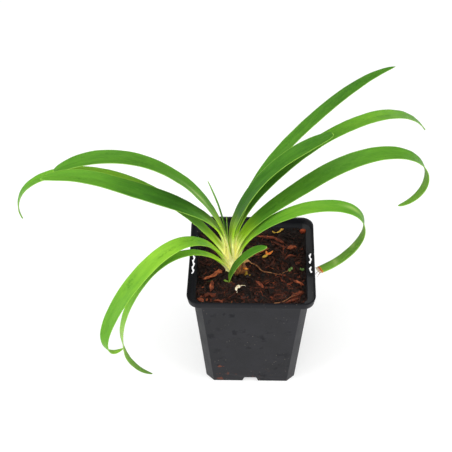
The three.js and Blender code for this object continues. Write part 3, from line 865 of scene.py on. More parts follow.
@dataclass
class Studio:
    """Floor, soft lights and the camera, in millimetres."""

    eye: Spot = (-6.1, -794.8, 876.2)
    target: Spot = (-18.7, 0.0, 127.9)
    lens: float = 122.8
    sensor: float = 36.0
    floor_half: float = 2500.0
    sky: float = 0.26

    def build_floor(self) -> None:
        """Lay the floor."""
        buffer = MeshBuffer()
        half = self.floor_half
        corners = np.array([[-half, -half, 0], [half, -half, 0], [half, half, 0], [-half, half, 0]], float)
        buffer.add(corners, np.array([[0, 1, 2, 3]]))
        floor = buffer.build("studio_floor", FloorFinish().material())

    def add_softbox(self, name: str, place: Spot, aim: Spot, size: float, power: float) -> None:
        """Hang one square softbox.

        Args:
            name: The light's name.
            place: Where it hangs.
            aim: What it points at.
            size: Its side.
            power: Its power in watts.
        """
        data = bpy.data.lights.new(name, "AREA")
        data.shape = "SQUARE"
        data.size = size * METRES
        data.energy = power
        lamp = bpy.data.objects.new(name, data)
        lamp.location = Vector(place) * METRES
        lamp.rotation_euler = (Vector(aim) - Vector(place)).to_track_quat("-Z", "Y").to_euler()
        bpy.context.scene.collection.objects.link(lamp)

    def build_lights(self) -> None:
        """Light the studio evenly, a little stronger from the left and the front."""
        world = bpy.data.worlds.new("studio_world")
        world.use_nodes = True
        background = world.node_tree.nodes["Background"]
        background.inputs["Color"].default_value = (1, 1, 1, 1)
        background.inputs["Strength"].default_value = self.sky
        bpy.context.scene.world = world
        middle = (0, 0, 110)
        self.add_softbox("key_left", (-950, -420, 480), middle, 700, 9)
        self.add_softbox("fill_right", (950, -380, 450), middle, 700, 8)
        self.add_softbox("top_soft", (0, -60, 1300), middle, 1200, 10.5)
        self.add_softbox("front_soft", (-120, -1000, 1050), middle, 700, 4)
        bpy.context.scene.view_settings.view_transform = "Standard"
        bpy.context.scene.view_settings.look = "None"

    def build_camera(self) -> None:
        """Set the camera."""
        data = bpy.data.cameras.new("view")
        data.lens = self.lens
        data.sensor_width = self.sensor
        data.clip_end = 20
        camera = bpy.data.objects.new("view", data)
        ahead = (Vector(self.target) - Vector(self.eye)).normalized()
        right = ahead.cross(Vector((0, 0, 1))).normalized()
        turn = Matrix((right, right.cross(ahead), -ahead)).transposed()
        camera.matrix_world = Matrix.Translation(Vector(self.eye) * METRES) @ turn.to_4x4()
        bpy.context.scene.collection.objects.link(camera)
        bpy.context.scene.camera = camera

    def build(self) -> None:
        """Set up the whole studio."""
        self.build_floor()
        self.build_lights()
        self.build_camera()


def mount(piece: Piece, slot: str, node: str = "") -> None:
    """Put a finished piece on the part and report it.

    Args:
        piece: The piece.
        slot: The record's material slot, for a piece that stands for no node.
        node: The frame node that it stands for, which brings its own slot.
    """
    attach(piece, ROOT)
    if node:
        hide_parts(node)
    LOG.info("%s: %d faces, slot %s", piece.name, len(piece.data.polygons), SLOTS.get(node, slot))


# ---- pot


@dataclass
class NurseryPot:
    """Square nine-centimetre pot: tapered body with chamfered corners under a rounded rim band."""

    height: float = 95.4
    rim_half: float = 45.0
    rim_band: float = 6.0
    rim_corner: float = 8.8
    rim_wall: float = 1.1
    body_top: float = 40.4
    body_foot: float = 32.9
    top_chamfer: float = 5.4
    foot_chamfer: float = 5.8
    wall: float = 1.0
    ledge: float = 90.0
    floor_under: float = 4.5
    floor_thick: float = 1.2
    skirt: float = 1.4
    centre_foot: float = 9.0
    gap_foot: float = 5.9
    gap_top: float = 4.5
    gap_height: float = 4.2
    corner_hole: tuple[float, float] = (3.6, 29.0)
    side_hole: tuple[float, float] = (3.1, 19.0)
    slot_middle: float = 42.2
    slot_backs: tuple[float, float] = (10.6, 13.6)
    slot_pitch: float = 3.3
    slot_half: float = 0.5
    slot_swell: float = 0.3
    slot_swing: float = 0.36
    slot_stretches: tuple[tuple[tuple[float, float], ...], ...] = (((0, 6.3),), ((0.3, 3.7), (4.4, 6.6)))
    nick_depth: float = 0.6
    nick_half: float = 0.85
    nick_back: float = 6.6
    rim_draft: float = 0.95
    bulge: float = 1.05
    shift_right: float = 0.35
    squeeze_start: float = 15.0
    squeeze_reach: float = 28.0
    worn_edge: float = 0.12
    edge_round: float = 0.9
    lip_round: float = 0.45
    arc_steps: int = 5

    def body_outside(self, z: float) -> tuple[float, float]:
        """Half width and corner chamfer of the body's outside."""
        share = z / (self.height - self.rim_band)
        return mix(self.body_foot, self.body_top, share), mix(self.foot_chamfer, self.top_chamfer, share)

    def quarters(self, corner: list[tuple[float, float]], z: float) -> Array:
        """Repeat one corner's outline at all four corners.

        Args:
            corner: Points of the corner at the right and the back, in turning order.
            z: The ring's height.

        Returns:
            The closed ring.
        """
        ring = []
        for quarter in range(4):
            c, s = round(math.cos(quarter * math.pi / 2)), round(math.sin(quarter * math.pi / 2))
            ring.extend((x * c - y * s, x * s + y * c, z) for x, y in corner)
        return np.array(ring, float)

    def body_ring(self, z: float, inset: float = 0) -> Array:
        """Chamfered outline of the body, with slightly rounded edges.

        Args:
            z: The ring's height.
            inset: How far inside the body's outside it runs.

        Returns:
            The closed ring.
        """
        half, chamfer = self.body_outside(z)
        half, chamfer = half - inset, chamfer - inset * (2 - math.sqrt(2))
        bend = math.pi / 4
        corner = []
        for start, at in ((0.0, (half, half - chamfer)), (bend, (half - chamfer, half))):
            toward = start + bend / 2
            centre = self.edge_round / math.cos(bend / 2)
            for step in range(self.arc_steps):
                angle = start + bend * step / (self.arc_steps - 1)
                x = at[0] - centre * math.cos(toward) + self.edge_round * math.cos(angle)
                y = at[1] - centre * math.sin(toward) + self.edge_round * math.sin(angle)
                corner.append((x, y))
        return self.quarters(corner, z)

    def rim_ring(self, half: float, z: float) -> Array:
        """Rounded outline of the rim.

        Args:
            half: Half width.
            z: The ring's height.

        Returns:
            The closed ring.
        """
        count = 2 * self.arc_steps
        angles = [math.pi / 2 * step / (count - 1) for step in range(count)]
        middle = self.rim_half - self.rim_corner
        radius = half - middle
        corner = [(middle + radius * math.cos(a), middle + radius * math.sin(a)) for a in angles]
        return self.quarters(corner, z)

    def quarter_round(self, radius: float, count: int) -> list[tuple[float, float]]:
        """Steps round a quarter circle: what is left to go one way, and what is gone the other."""
        turns = [math.radians(90 * step / (count - 1)) for step in range(count)]
        return [(radius * (1 - math.sin(turn)), radius * (1 - math.cos(turn))) for turn in turns]

    def shell_rings(self) -> Array:
        """Rings from the foot up the outside, over the rim and down the inside.

        Returns:
            The rings, by ring and then round the ring.
        """
        under = self.height - self.rim_band
        inner = self.rim_half - self.rim_wall
        rings = [self.body_ring(0.0, 0.3), self.body_ring(0.3)]
        rings += [self.body_ring(z) for z in np.linspace(3, under - 0.6, 12)]
        rings += [self.body_ring(under - 0.12, -0.12), self.rim_ring(self.body_top + 0.7, under)]
        edge, soft = self.lip_round, self.lip_round * 0.7
        for short, spent in self.quarter_round(edge, 4):
            rings.append(self.rim_ring(self.rim_half - self.rim_draft - short, under + spent))
        for short, spent in self.quarter_round(edge, 4):
            rings.append(self.rim_ring(self.rim_half - spent, self.height - short))
        for short, spent in self.quarter_round(soft, 3):
            rings.append(self.rim_ring(inner + short, self.height - spent))
        for inward, rise in ((0, 0.5), (0.15, 0.15), (0.5, 0)):
            rings.append(self.rim_ring(inner - inward, self.ledge + rise))
        for outward, drop in ((0.4, 0), (0.12, 0.12), (0, 0.4)):
            rings.append(self.body_ring(self.ledge - drop, self.wall - outward))
        inside = self.floor_under + self.floor_thick
        rings += [self.body_ring(z, self.wall) for z in np.linspace(80, inside, 8)]
        return np.array(rings)

    def settled(self, points: Array) -> Array:
        """Push places out a little sideways, most at the front left, where the pot is squeezed.

        Args:
            points: The places.

        Returns:
            The places as they lie in the squeezed pot.
        """
        x, y, z = points[:, 0], points[:, 1], points[:, 2]
        start, reach = self.squeeze_start, self.squeeze_reach
        left = smooth((-x - start) / reach) * smooth((12 - y) / 48) * z / self.height
        right = smooth((x - start) / reach) * z / self.height
        return points + np.stack([self.shift_right * right - self.bulge * left, 0 * z, 0 * z], -1)

    def cutter(self, parts: list[Array]) -> Piece:
        """Make one cutting tool of several lofts.

        Args:
            parts: Rings of each loft.

        Returns:
            The tool.
        """
        buffer = MeshBuffer()
        for rings in parts:
            buffer.add_prism(rings)
        return buffer.build("cutting_tool", bpy.data.materials.new("none"))

    def underside_rings(self) -> list[Array]:
        """The hollow under the floor, as four walls round the middle foot.

        Returns:
            Rings of the cutting tool, the last joined to the first.
        """
        outer = [self.body_ring(z, self.skirt) for z in (-1.0, self.floor_under)]
        count = outer[0].shape[0]
        angle = np.arctan2(outer[0][:, 1], outer[0][:, 0])
        foot = []
        for z in (self.floor_under, -1.0):
            post = [self.centre_foot * np.cos(angle), self.centre_foot * np.sin(angle), np.full(count, z)]
            foot.append(np.stack(post, -1))
        return [outer[0], outer[1], foot[0], foot[1]]

    def ring_tool(self, rings: list[Array]) -> Piece:
        """Make a tool that closes on itself instead of with end caps.

        Args:
            rings: Rings in order, the last joined to the first.

        Returns:
            The tool.
        """
        count = len(rings[0])
        near = np.arange(len(rings) * count).reshape(len(rings), count)
        beside = np.roll(near, -1, axis=1)
        quads = np.stack([near, beside, np.roll(beside, -1, axis=0), np.roll(near, -1, axis=0)], -1)
        buffer = MeshBuffer()
        buffer.add(np.concatenate(rings), quads.reshape(-1, 4))
        return buffer.build("ring_tool", bpy.data.materials.new("none"))

    def outline_tool(self, outline: Array, low: float, high: float) -> Array:
        """Stand a closed outline up between two heights."""
        return np.stack([np.column_stack((outline, np.full(len(outline), z))) for z in (low, high)])

    def drain_gap(self, side: int) -> Array:
        """Notch through the skirt in the middle of one side, narrower at its top.

        Args:
            side: Which side, counted in quarter turns from the front.

        Returns:
            Rings of the cutting tool.
        """
        right = [(self.gap_foot + 0.25, -1), (self.gap_foot - 0.2, 0.6),
                 (self.gap_top + 0.25, self.gap_height - 0.7), (self.gap_top - 0.5, self.gap_height)]
        left = [(-x, z) for x, z in reversed(right)]
        profile = left[-1:] + right + left[:-1]
        turn = side * math.pi / 2
        c, s = math.cos(turn), math.sin(turn)
        rings = []
        for y in (-self.body_foot - 2, -self.body_foot + 10):
            rings.append([(x * c - y * s, x * s + y * c, z) for x, z in profile])
        return np.array(rings)

    def round_hole(self, radius: float, reach: float, angle: float) -> Array:
        """Round drain hole through the floor.

        Args:
            radius: Its radius.
            reach: Its distance from the middle.
            angle: Its direction.

        Returns:
            Rings of the cutting tool.
        """
        turn = np.linspace(0, 2 * np.pi, 32, endpoint=False)
        x = reach * math.cos(angle) + radius * np.cos(turn)
        y = reach * math.sin(angle) + radius * np.sin(turn)
        return self.outline_tool(np.column_stack((x, y)), self.floor_under - 4, self.floor_under + 4)

    def label_slots(self) -> list[Array]:
        """Saw-edged label slots through the ledges, the right one bridged once.

        Returns:
            Rings of each cutting tool.
        """
        tools = []
        for side, back, stretches in zip((-1, 1), self.slot_backs, self.slot_stretches):
            for first, last in stretches:
                turns = np.linspace(first, last, int(14 * (last - first)))
                y = back - turns * self.slot_pitch
                swing = self.slot_swing * side * np.sign(np.sin(np.pi * turns + 0.6))
                swing = np.convolve(np.pad(swing, 2, "edge"), np.ones(5) / 5, "valid")
                half = self.slot_half + self.slot_swell * np.abs(np.cos(np.pi * turns)) ** 1.5
                close = np.minimum(turns - first, last - turns)
                half = half * np.sqrt(np.clip(close * 4 + 0.04, 0, 1))
                left = np.column_stack((side * self.slot_middle + swing - half, y))
                right = np.column_stack((side * self.slot_middle + swing + half, y))[::-1]
                outline = np.concatenate((left, right))
                tools.append(self.outline_tool(outline, self.ledge - 4, self.ledge + 2.5))
        return tools

    def rim_nicks(self) -> list[Array]:
        """A small nick in the rim beside each label slot.

        Returns:
            Rings of each cutting tool.
        """
        tools = []
        turn = np.linspace(0, 2 * np.pi, 16, endpoint=False)
        y = self.nick_back + self.nick_half * np.sin(turn)
        for side in (-1, 1):
            outline = np.column_stack((side * self.rim_half + self.nick_depth * np.cos(turn), y))
            tools.append(self.outline_tool(outline, self.height - 1.5, self.height + 1.5))
        return tools

    def build(self) -> None:
        """Mould the shell, cut its openings and dress it."""
        material = PlasticFinish().material()
        buffer = MeshBuffer()
        buffer.add_loft(self.shell_rings())
        shell = buffer.build("pot_blank", material)
        tools = [self.drain_gap(side) for side in range(4)]
        tools += [self.round_hole(*self.side_hole, quarter * math.pi / 2) for quarter in range(4)]
        tools += [self.round_hole(*self.corner_hole, (quarter + 0.5) * math.pi / 2) for quarter in range(4)]
        tools += self.label_slots() + self.rim_nicks()
        cutters = [self.ring_tool(self.underside_rings()), self.cutter(tools)]
        for cutter in cutters:
            cut = shell.modifiers.new(cutter.name, "BOOLEAN")
            cut.operation = "DIFFERENCE"
            cut.solver = "EXACT"
            cut.object = cutter
        rounding = shell.modifiers.new("worn_edges", "BEVEL")
        rounding.width = self.worn_edge * METRES
        rounding.segments = 2
        rounding.limit_method = "ANGLE"
        rounding.angle_limit = math.radians(50)
        evaluated = shell.evaluated_get(bpy.context.evaluated_depsgraph_get())
        mesh = bpy.data.meshes.new_from_object(evaluated)
        for spare in (shell, *cutters):
            bpy.data.objects.remove(spare)
        places = np.empty(3 * len(mesh.vertices))
        mesh.vertices.foreach_get("co", places)
        squeezed = self.settled(places.reshape(-1, 3) / METRES) * METRES
        mesh.vertices.foreach_set("co", squeezed.ravel())
        pot = finish_mesh("nursery_pot", mesh, material, 30)
        mount(pot, "pot_plastic", "pot")


# ---- neck and leaves


@dataclass(frozen=True)
class NeckSection:
    """One oval section of the neck: centre, height and half axes."""

    x: float
    y: float
    z: float
    across: float
    deep: float


NECK = (
    NeckSection(-12.6, -7.6, 70, 2.4, 2.4),
    NeckSection(-12.6, -7.6, 76, 4.8, 4.4),
    NeckSection(-13, -7.6, 85, 4.9, 4.3),
    NeckSection(-13.8, -7.5, 93, 5.1, 4.1),
    NeckSection(-14.1, -7.1, 100, 5.6, 3.9),
    NeckSection(-14.1, -6.5, 106, 5, 3.6),
    NeckSection(-14.7, -5.8, 111, 3.6, 2.8),
)


STUMP = (
    NeckSection(-7.0, -8.0, 79, 4.9, 5.0),
    NeckSection(-7.0, -7.9, 84, 4.7, 4.9),
    NeckSection(-7.1, -7.4, 88, 4.3, 4.5),
    NeckSection(-7.4, -6.6, 92, 3.6, 3.8),
    NeckSection(-7.9, -5.6, 95.5, 2.6, 2.8),
    NeckSection(-8.3, -5.0, 98, 1.2, 1.4),
)


def ovals_at(z: Array, sections: tuple[NeckSection, ...] = NECK) -> tuple[Array, Array]:
    """Read a stem's ovals at some heights.

    Args:
        z: Heights.
        sections: The stem's sections, lowest first.

    Returns:
        Centres in x and y, and half axes in x and y, along a new last axis.
    """
    heights = [part.z for part in sections]
    keys = ("x", "y", "across", "deep")
    rows = [np.interp(z, heights, [getattr(part, key) for part in sections]) for key in keys]
    return np.stack(rows[:2], -1), np.stack(rows[2:], -1)


def stem_skin(sections: tuple[NeckSection, ...], angle: Array, z: Array, out: Array) -> Array:
    """Points on or above a stem's surface.

    Args:
        sections: The stem's sections, lowest first.
        angle: Directions round the stem, in radians.
        z: Heights, of the same shape.
        out: Distances outside the surface, of the same shape.

    Returns:
        The points.
    """
    centre, axes = ovals_at(z, sections)
    ring = np.stack([np.cos(angle), np.sin(angle)], -1)
    flat = centre + (axes + out[..., None]) * ring
    return np.concatenate((flat, z[..., None]), axis=-1)


@dataclass(frozen=True)
class Mark:
    """A bruise or a patch of painted shade, or a crease painted as a highlight across the blade, at a
    distance from the base.
    """

    at: float
    across: float
    length: float
    width: float
    kind: str = "bruise"


@dataclass(frozen=True)
class Strap:
    """One strap leaf: where it starts, its outline, how it runs and how green it is.

    Heading, rise and roll are in degrees, spaced evenly from the base to the tip, and so is
    `glow`, the leaf's own green together with painted light and shade, from 0,
    deep green in shade, to 1, bright and lit. `foot` is the base's width as a share of the full
    one, `taper` where the tip begins to narrow, `cut` the share of the outline that is left,
    `body` the share of the usual thickness, `layer` how far out its sheath lies on the neck,
    `sharp` how pointed its tip is, and `pale` where its cream foot ends, from its base.
    """

    name: str
    tone: LeafTone
    base: Spot
    length: float
    width: float
    foot: float
    taper: float
    heading: tuple[float, ...]
    rise: tuple[float, ...]
    roll: tuple[float, ...]
    glow: tuple[float, ...]
    layer: float = 0.0
    pale: float = -2.0
    cut: float = 1.0
    body: float = 1.0
    sharp: float = 0.5
    marks: tuple[Mark, ...] = ()

    WALK_STEPS = 240
    MARK_STRENGTH = 0.75

    def direction(self, share: Array) -> Array:
        """Direction of the leaf's length, as unit vectors, at shares of the way to the tip."""
        heading, rise = np.radians(through(self.heading, share)), np.radians(through(self.rise, share))
        return np.stack([np.cos(rise) * np.cos(heading), np.cos(rise) * np.sin(heading), np.sin(rise)], -1)

    def middle_line(self, share: Array) -> Array:
        """Points along the leaf's middle.

        Args:
            share: Places from 0 at the base to 1 at the tip.

        Returns:
            The points.
        """
        middles = (np.arange(self.WALK_STEPS) + 0.5) / self.WALK_STEPS
        strides = self.direction(middles) * self.length / self.WALK_STEPS
        walked = np.concatenate((np.zeros((1, 3)), np.cumsum(strides, axis=0))) + np.array(self.base)
        knots = np.linspace(0, 1, self.WALK_STEPS + 1)
        return np.stack([np.interp(share, knots, walked[:, axis]) for axis in range(3)], -1)

    def half_width(self, share: Array) -> Array:
        """Half the blade's width.

        Args:
            share: Places from 0 at the base to 1 at the tip.

        Returns:
            The half widths.
        """
        widening = self.foot + (1 - self.foot) * smooth(share / 0.4)
        towards_tip = np.clip((share * self.cut - self.taper) / (1 - self.taper), 0, 1)
        return np.maximum(self.width * widening * (1 - towards_tip**2.2) ** self.sharp, 0.3) / 2

    def marked(self, along: Array, aside: Array, kind: str) -> Array:
        """Strength of the leaf's marks of one kind.

        Args:
            along: Distance from the base.
            aside: Distance from the middle line.
            kind: Which marks.

        Returns:
            Strengths from 0 to 1.
        """
        total = np.zeros_like(along)
        for mark in self.marks:
            if mark.kind == kind:
                reach = ((along - mark.at) / mark.length) ** 2 + ((aside - mark.across) / mark.width) ** 2
                total = np.maximum(total, self.MARK_STRENGTH * np.exp(-reach))
        return total


# Crease marks paint highlights along folds and twists; on right_leaf_5 the long mark on the lower side paints
# shade.
STRAPS = (
    Strap("left_leaf_1", LeafTone.MATURE, (-17, -6.4, 113.2), 167, 13.3, 0.37, 0.66, (178, 178, 178),
          (80, 60, 33.6, -3, -38), (-4, 4, -22), (0.46, 0.46, 0.44, 0.46, 0.46), 0.58, 8,
          marks=(Mark(52, 1.6, 13, 1.8, "crease"), Mark(106, 1.5, 12, 1.6), Mark(63, -1.5, 7, 1.2),
          Mark(98, 4, 6, 1.2), Mark(124, -3, 8, 1))),
    Strap("left_leaf_2", LeafTone.MATURE, (-20.1, -6.4, 107.4), 164, 13.7, 0.34, 0.76, (191, 188.5, 189.5),
          (96, 45.4, 28.8, 24.7, -9), (-17, -3, -17, -8, 3), (0.56, 0.6, 0.26, 0.36, 0.56, 0.62), 0.82, 12,
          marks=(Mark(92, -2, 14, 1), Mark(140, 2, 6, 0.8), Mark(76, 3, 8, 1))),
    Strap("left_leaf_3", LeafTone.MATURE, (-16.7, -6.7, 102), 209, 10.3, 0.7, 0.47, (177, 176, 180),
          (64.5, 48.4, 32, 4.4, -35, -110), (-9, 1, -12), (0.66, 0.66, 0.72, 0.85, 0.6, 0.5), 0.86, 8,
          marks=(Mark(150, 0, 5, 1.6, "crease"),)),
    Strap("left_leaf_4", LeafTone.BRIGHT, (-17.6, -7.7, 97), 179, 11.8, 0.5, 0.45, (206, 220, 227),
          (72, 42, -14, -39, -73, -174), (-4, -6, -8, -14, -9, 24), (0.6, 0.66, 0.84, 0.68, 0.6, 0.84),
          0.96, 6, sharp=0.7, marks=(Mark(46, -1, 10, 1.8), Mark(43, 2.6, 6, 1), Mark(102, -2.4, 7, 1),
          Mark(104, -0.5, 3, 1.2), Mark(70, 1, 12, 1.2))),
    Strap("left_leaf_5", LeafTone.MATURE, (-16, -8.8, 91.2), 200.2, 7.4, 0.7, 0.34, (212, 208, 216),
          (68, 31, -39, -72, -106, -136), (-12, -8, -4, 0, 2, 2, 3, 8, 38, 44, 50),
          (0.6, 0.7, 0.66, 0.72, 0.44, 0.24), 1.05, 7,
          marks=(Mark(138, 0, 13, 4, "crease"), Mark(82, 0, 9, 4))),
    Strap("right_leaf_1", LeafTone.MATURE, (-14.3, -4.4, 112.4), 190.4, 11.9, 0.6, 0.41, (33, 33, 40),
          (83.5, 57, 34, 17, -13), (-9, -9, 14), (0.3, 0.4, 0.42, 0.36, 0.4), 0.66, 0, sharp=0.71,
          marks=(Mark(155, 0, 14, 2), Mark(92, 1.4, 10, 1.2), Mark(60, -2, 8, 1.2), Mark(128, 2, 5, 0.8))),
    Strap("right_leaf_2", LeafTone.MATURE, (-13.7, -6.8, 112.2), 124.6, 12.5, 0.65, 0.72, (20, 18, 22),
          (98, 70, 50, 28, 10), (0, -3, 5), (0.36, 0.24, 0.36, 0.36), 0.62, 3, sharp=0.42,
          marks=(Mark(100, -1.2, 1.8, 0.9), Mark(112, 2, 5, 1.6), Mark(60, 1, 9, 1.4),
          Mark(84, -2.4, 6, 1))),
    Strap("right_leaf_3", LeafTone.MATURE, (-12.3, -3.6, 108.6), 254, 9.6, 0.45, 0.65, (26, 33, 49, 47),
          (92, 50, 25, -5, -24, -38, -57), (-2, 4, 22, 20), (0.5, 0.46, 0.52, 0.66, 0.62, 0.5), 0.74, 8,
          marks=(Mark(180, -1, 8, 1), Mark(214, 1, 6, 1))),
    Strap("right_leaf_4", LeafTone.BRIGHT, (-11.4, -6.4, 100.8), 230, 13.8, 0.56, 0.35, (16, 22, 21),
          (92, 37, 23, -7, -61, -179), (4, 12, 1), (0.56, 0.5, 0.44, 0.52, 0.5, 0.58), 0.92, 12,
          marks=(Mark(100, 0, 9, 2), Mark(114, -1.2, 6, 1.4), Mark(82, 2.6, 9, 1.4), Mark(60, 0, 10, 1.6),
          Mark(122, 1, 5, 1))),
    # The crease marks paint the highlight along this leaf's fold, and the last mark paints shade on its lower
    # side.
    Strap("right_leaf_5", LeafTone.BRIGHT, (-9.8, -7.8, 96.7), 184, 10.2, 0.67, 0.64, (0, 12, 25),
          (92, 46, 11, -36, -121, -178), (-6, 15, 12), (0.56, 0.56, 0.68, 0.56, 0.42, 0.62), 1.0, 11,
          cut=0.85, marks=(Mark(112, 1.4, 8, 1.4, "crease"), Mark(137, 2, 4, 1.2, "crease"),
          Mark(152, 2, 2, 2.4, "crease"), Mark(170, 0, 2, 4, "crease"), Mark(152, -2.8, 20, 2.6))),
    Strap("centre_spike_long", LeafTone.DARK, (-16.1, -4.8, 111), 62, 2, 0.8, 0.55, (165, 165),
          (82, 76, 67), (0, 0), (0.2, 0.4, 0.7), 0.2, -12, body=0.5),
    Strap("centre_spike_short", LeafTone.DARK, (-15.7, -7.6, 111), 33, 2, 0.8, 0.5, (175, 175), (82, 90),
          (0, 0), (0.12, 0.16), 0.2, -12, body=0.5),
    Strap("side_shoot_leaf", LeafTone.DARK, (-15.8, -15.2, 80), 54.5, 8.5, 0.62, 0.68, (1, -2, -4),
          (100, 75.5, 59, 43, 15), (8, 6, 1), (0.26, 0.3, 0.4, 0.46), pale=-14),
)


@dataclass
class LeafFan:
    """All strap leaves, each one skin from its sheath in the neck to its tip."""

    straps: tuple[Strap, ...] = STRAPS
    rows: int = 150
    sheath_rows: int = 26
    columns: int = 19
    middle: float = 1.2
    margin: float = 0.65
    sheath_foot: float = 78.0
    wrap: float = 100.0
    greening: float = 27.0
    dish: float = 0.26
    groove: float = 0.16
    keel: float = 0.3
    ripple: float = 0.12
    margin_ripple: float = 0.22
    foot_extra: float = 0.8
    sheath_half: float = 0.28

    def across_places(self) -> Array:
        """Places across one face, closer together at the margins."""
        return np.sin(np.linspace(-np.pi / 2, np.pi / 2, self.columns))

    def blade_faces(self, strap: Strap, share: Array, seed: int) -> tuple[Array, Array]:
        """Upper and lower face of the blade.

        Args:
            strap: The leaf.
            share: Places from 0 at the base to 1 at the tip.
            seed: Fixes its small unevenness.

        Returns:
            The two faces, by place along and then across.
        """
        noise = LatticeNoise(seed)
        tangent = strap.direction(share)
        heading = np.radians(through(strap.heading, share))
        roll = np.radians(through(strap.roll, share))[:, None]
        level = np.stack([-np.sin(heading), np.cos(heading), np.zeros_like(heading)], -1)
        upright = np.cross(tangent, level)
        across = level * np.cos(roll) + upright * np.sin(roll)
        normal = upright * np.cos(roll) - level * np.sin(roll)
        u = self.across_places()
        half = strap.half_width(share)[:, None]
        near_base = 1 - smooth(share / 0.3)[:, None]
        along = (share * strap.length)[:, None] + 0 * u
        spread = np.stack([along, 4 * u + 0 * along, np.full_like(along, seed)], -1)
        bend = self.dish + 0.3 * near_base + 0.15 * (1 - smooth(share / 0.12)[:, None])
        sideways = half * np.sin(bend * u) / bend
        dish = half * (1 - np.cos(bend * u)) / bend
        free = smooth(share / 0.15)[:, None]
        ripple = free * (self.margin_ripple * noise.at(spread, 11) * u**2 + self.ripple * noise.at(spread, 5))
        groove = -self.groove * np.exp(-((u * half / 0.7) ** 2)) * free
        keel = self.keel * np.exp(-((u * half / 0.9) ** 2)) * (1 - smooth(share / 0.6))[:, None]
        sway = 1 + 0.02 * noise.at(spread, 9)
        thick = strap.body * (self.middle * (1 - 0.35 * share)[:, None] + self.foot_extra * near_base)
        thick = mix(thick, self.margin, u**2) * np.sqrt(np.clip(1 - np.abs(u) ** 14, 0, 1))
        sheet = strap.middle_line(share)[:, None] + across[:, None] * (sideways * sway)[..., None]
        sheet = sheet + normal[:, None] * (dish + ripple)[..., None]
        top = (thick / 2 + groove * strap.body) * (np.abs(u) < 0.9999)
        bottom = (thick / 2 + keel * strap.body) * (np.abs(u) < 0.9999)
        return sheet + normal[:, None] * top[..., None], sheet - normal[:, None] * bottom[..., None]

    def sheath_faces(self, strap: Strap, down: Array, foot: tuple[Array, Array]) -> tuple[Array, Array]:
        """Faces of the sheath, which closes round the neck on its way down.

        Args:
            strap: The leaf.
            down: Places from 0 at the blade to 1 at the sheath's foot.
            foot: The blade's first row of each face.

        Returns:
            Inner and outer face, by place down and then across.
        """
        u = self.across_places()
        base = np.array(strap.base)
        z = mix(base[2], self.sheath_foot, down)
        centre, axes = ovals_at(z)
        start_centre, _ = ovals_at(base[2:3])
        heading = math.radians(strap.heading[0])
        toward = np.array([math.cos(heading), math.sin(heading)])
        own = smooth(down * 1.3)[:, None]
        offset = mix((base[:2] - start_centre[0])[None], strap.layer * axes * toward, own)
        angle = heading + u * math.radians(self.wrap)
        ring = np.stack([np.cos(angle), np.sin(angle)], -1)
        arc = centre[:, None] + strap.layer * axes[:, None] * ring[None]
        shift = centre - start_centre[0] + offset - (base[:2] - start_centre[0])
        drop = np.concatenate((shift, (z - base[2])[:, None]), axis=1)[:, None]
        hung = [face[None] + drop for face in foot]
        closing = smooth(down * 2.8)[:, None, None]
        faces = []
        for face, side in zip(hung, (-1, 1)):
            thick = side * self.sheath_half * np.sqrt(np.clip(1 - np.abs(u) ** 6, 0, 1))
            shell = arc + ring[None] * thick[None, :, None]
            heights = np.broadcast_to(z[:, None, None], shell.shape[:2] + (1,))
            faces.append(mix(face, np.concatenate((shell, heights), axis=-1), closing))
        return faces[0], faces[1]

    def build_leaf(self, strap: Strap, material: Material, seed: int) -> None:
        """Build one leaf and dress it.

        Args:
            strap: The leaf.
            material: Its finish.
            seed: Fixes its small unevenness.
        """
        share = 1 - (1 - np.linspace(0, 1, self.rows)) ** 1.25
        upper, lower = self.blade_faces(strap, share, seed)
        distance = share * strap.length
        if strap.layer > 0:
            down = np.linspace(1, 0, self.sheath_rows, endpoint=False)
            inner, outer = self.sheath_faces(strap, down, (upper[0], lower[0]))
            upper, lower = np.concatenate((inner, upper)), np.concatenate((outer, lower))
            distance = np.concatenate((-down * (strap.base[2] - self.sheath_foot), distance))
        u = self.across_places()
        if strap.cut < 1:
            torn = LatticeNoise(seed).at(np.stack([u * 9, 0 * u, 0 * u], -1), 1.7)
            frayed = smooth((distance - strap.length + 2) / 2)[:, None] * 1.1 * (torn - 0.2)
            step = strap.direction(np.ones(1))
            upper, lower = upper + frayed[..., None] * step, lower + frayed[..., None] * step
        rings = wrapped_round(upper, lower)
        places = np.concatenate((u, u[-2:0:-1]))
        along = np.broadcast_to(distance[:, None], rings.shape[:2])
        share = np.clip(along / strap.length, 0, 1)
        half = strap.half_width(share)
        aside = places * half
        under = np.concatenate((np.zeros(self.columns), np.ones(self.columns - 2)))
        dry = smooth((along - strap.length + 4) / 4) if strap.cut < 1 else 0 * along
        # The tip also takes the margins' painted highlight.
        at_tip = smooth((along - strap.length + 2.2) / 1.8) * (strap.cut >= 1)
        buffer = MeshBuffer()
        buffer.add_loft(rings, {
            "lengthwise": along, "crosswise": aside, "edge": np.maximum(np.abs(places), at_tip),
            "underside": under + 0 * along, "own": float(seed), "dry": dry,
            "glow": through(strap.glow, share),
            "green": (along - strap.pale) / self.greening,
            "bruise": strap.marked(along, aside, "bruise"),
            "crease": strap.marked(along, aside, "crease"),
        })
        leaf = buffer.build(strap.name + "_blade", material, 60)
        mount(leaf, strap.tone.value, strap.name)

    def build(self) -> None:
        """Build every leaf."""
        materials = {tone: LeafFinish(tone).material() for tone in LeafTone}
        for index, strap in enumerate(self.straps):
            self.build_leaf(strap, materials[strap.tone], 11 + 7 * index)


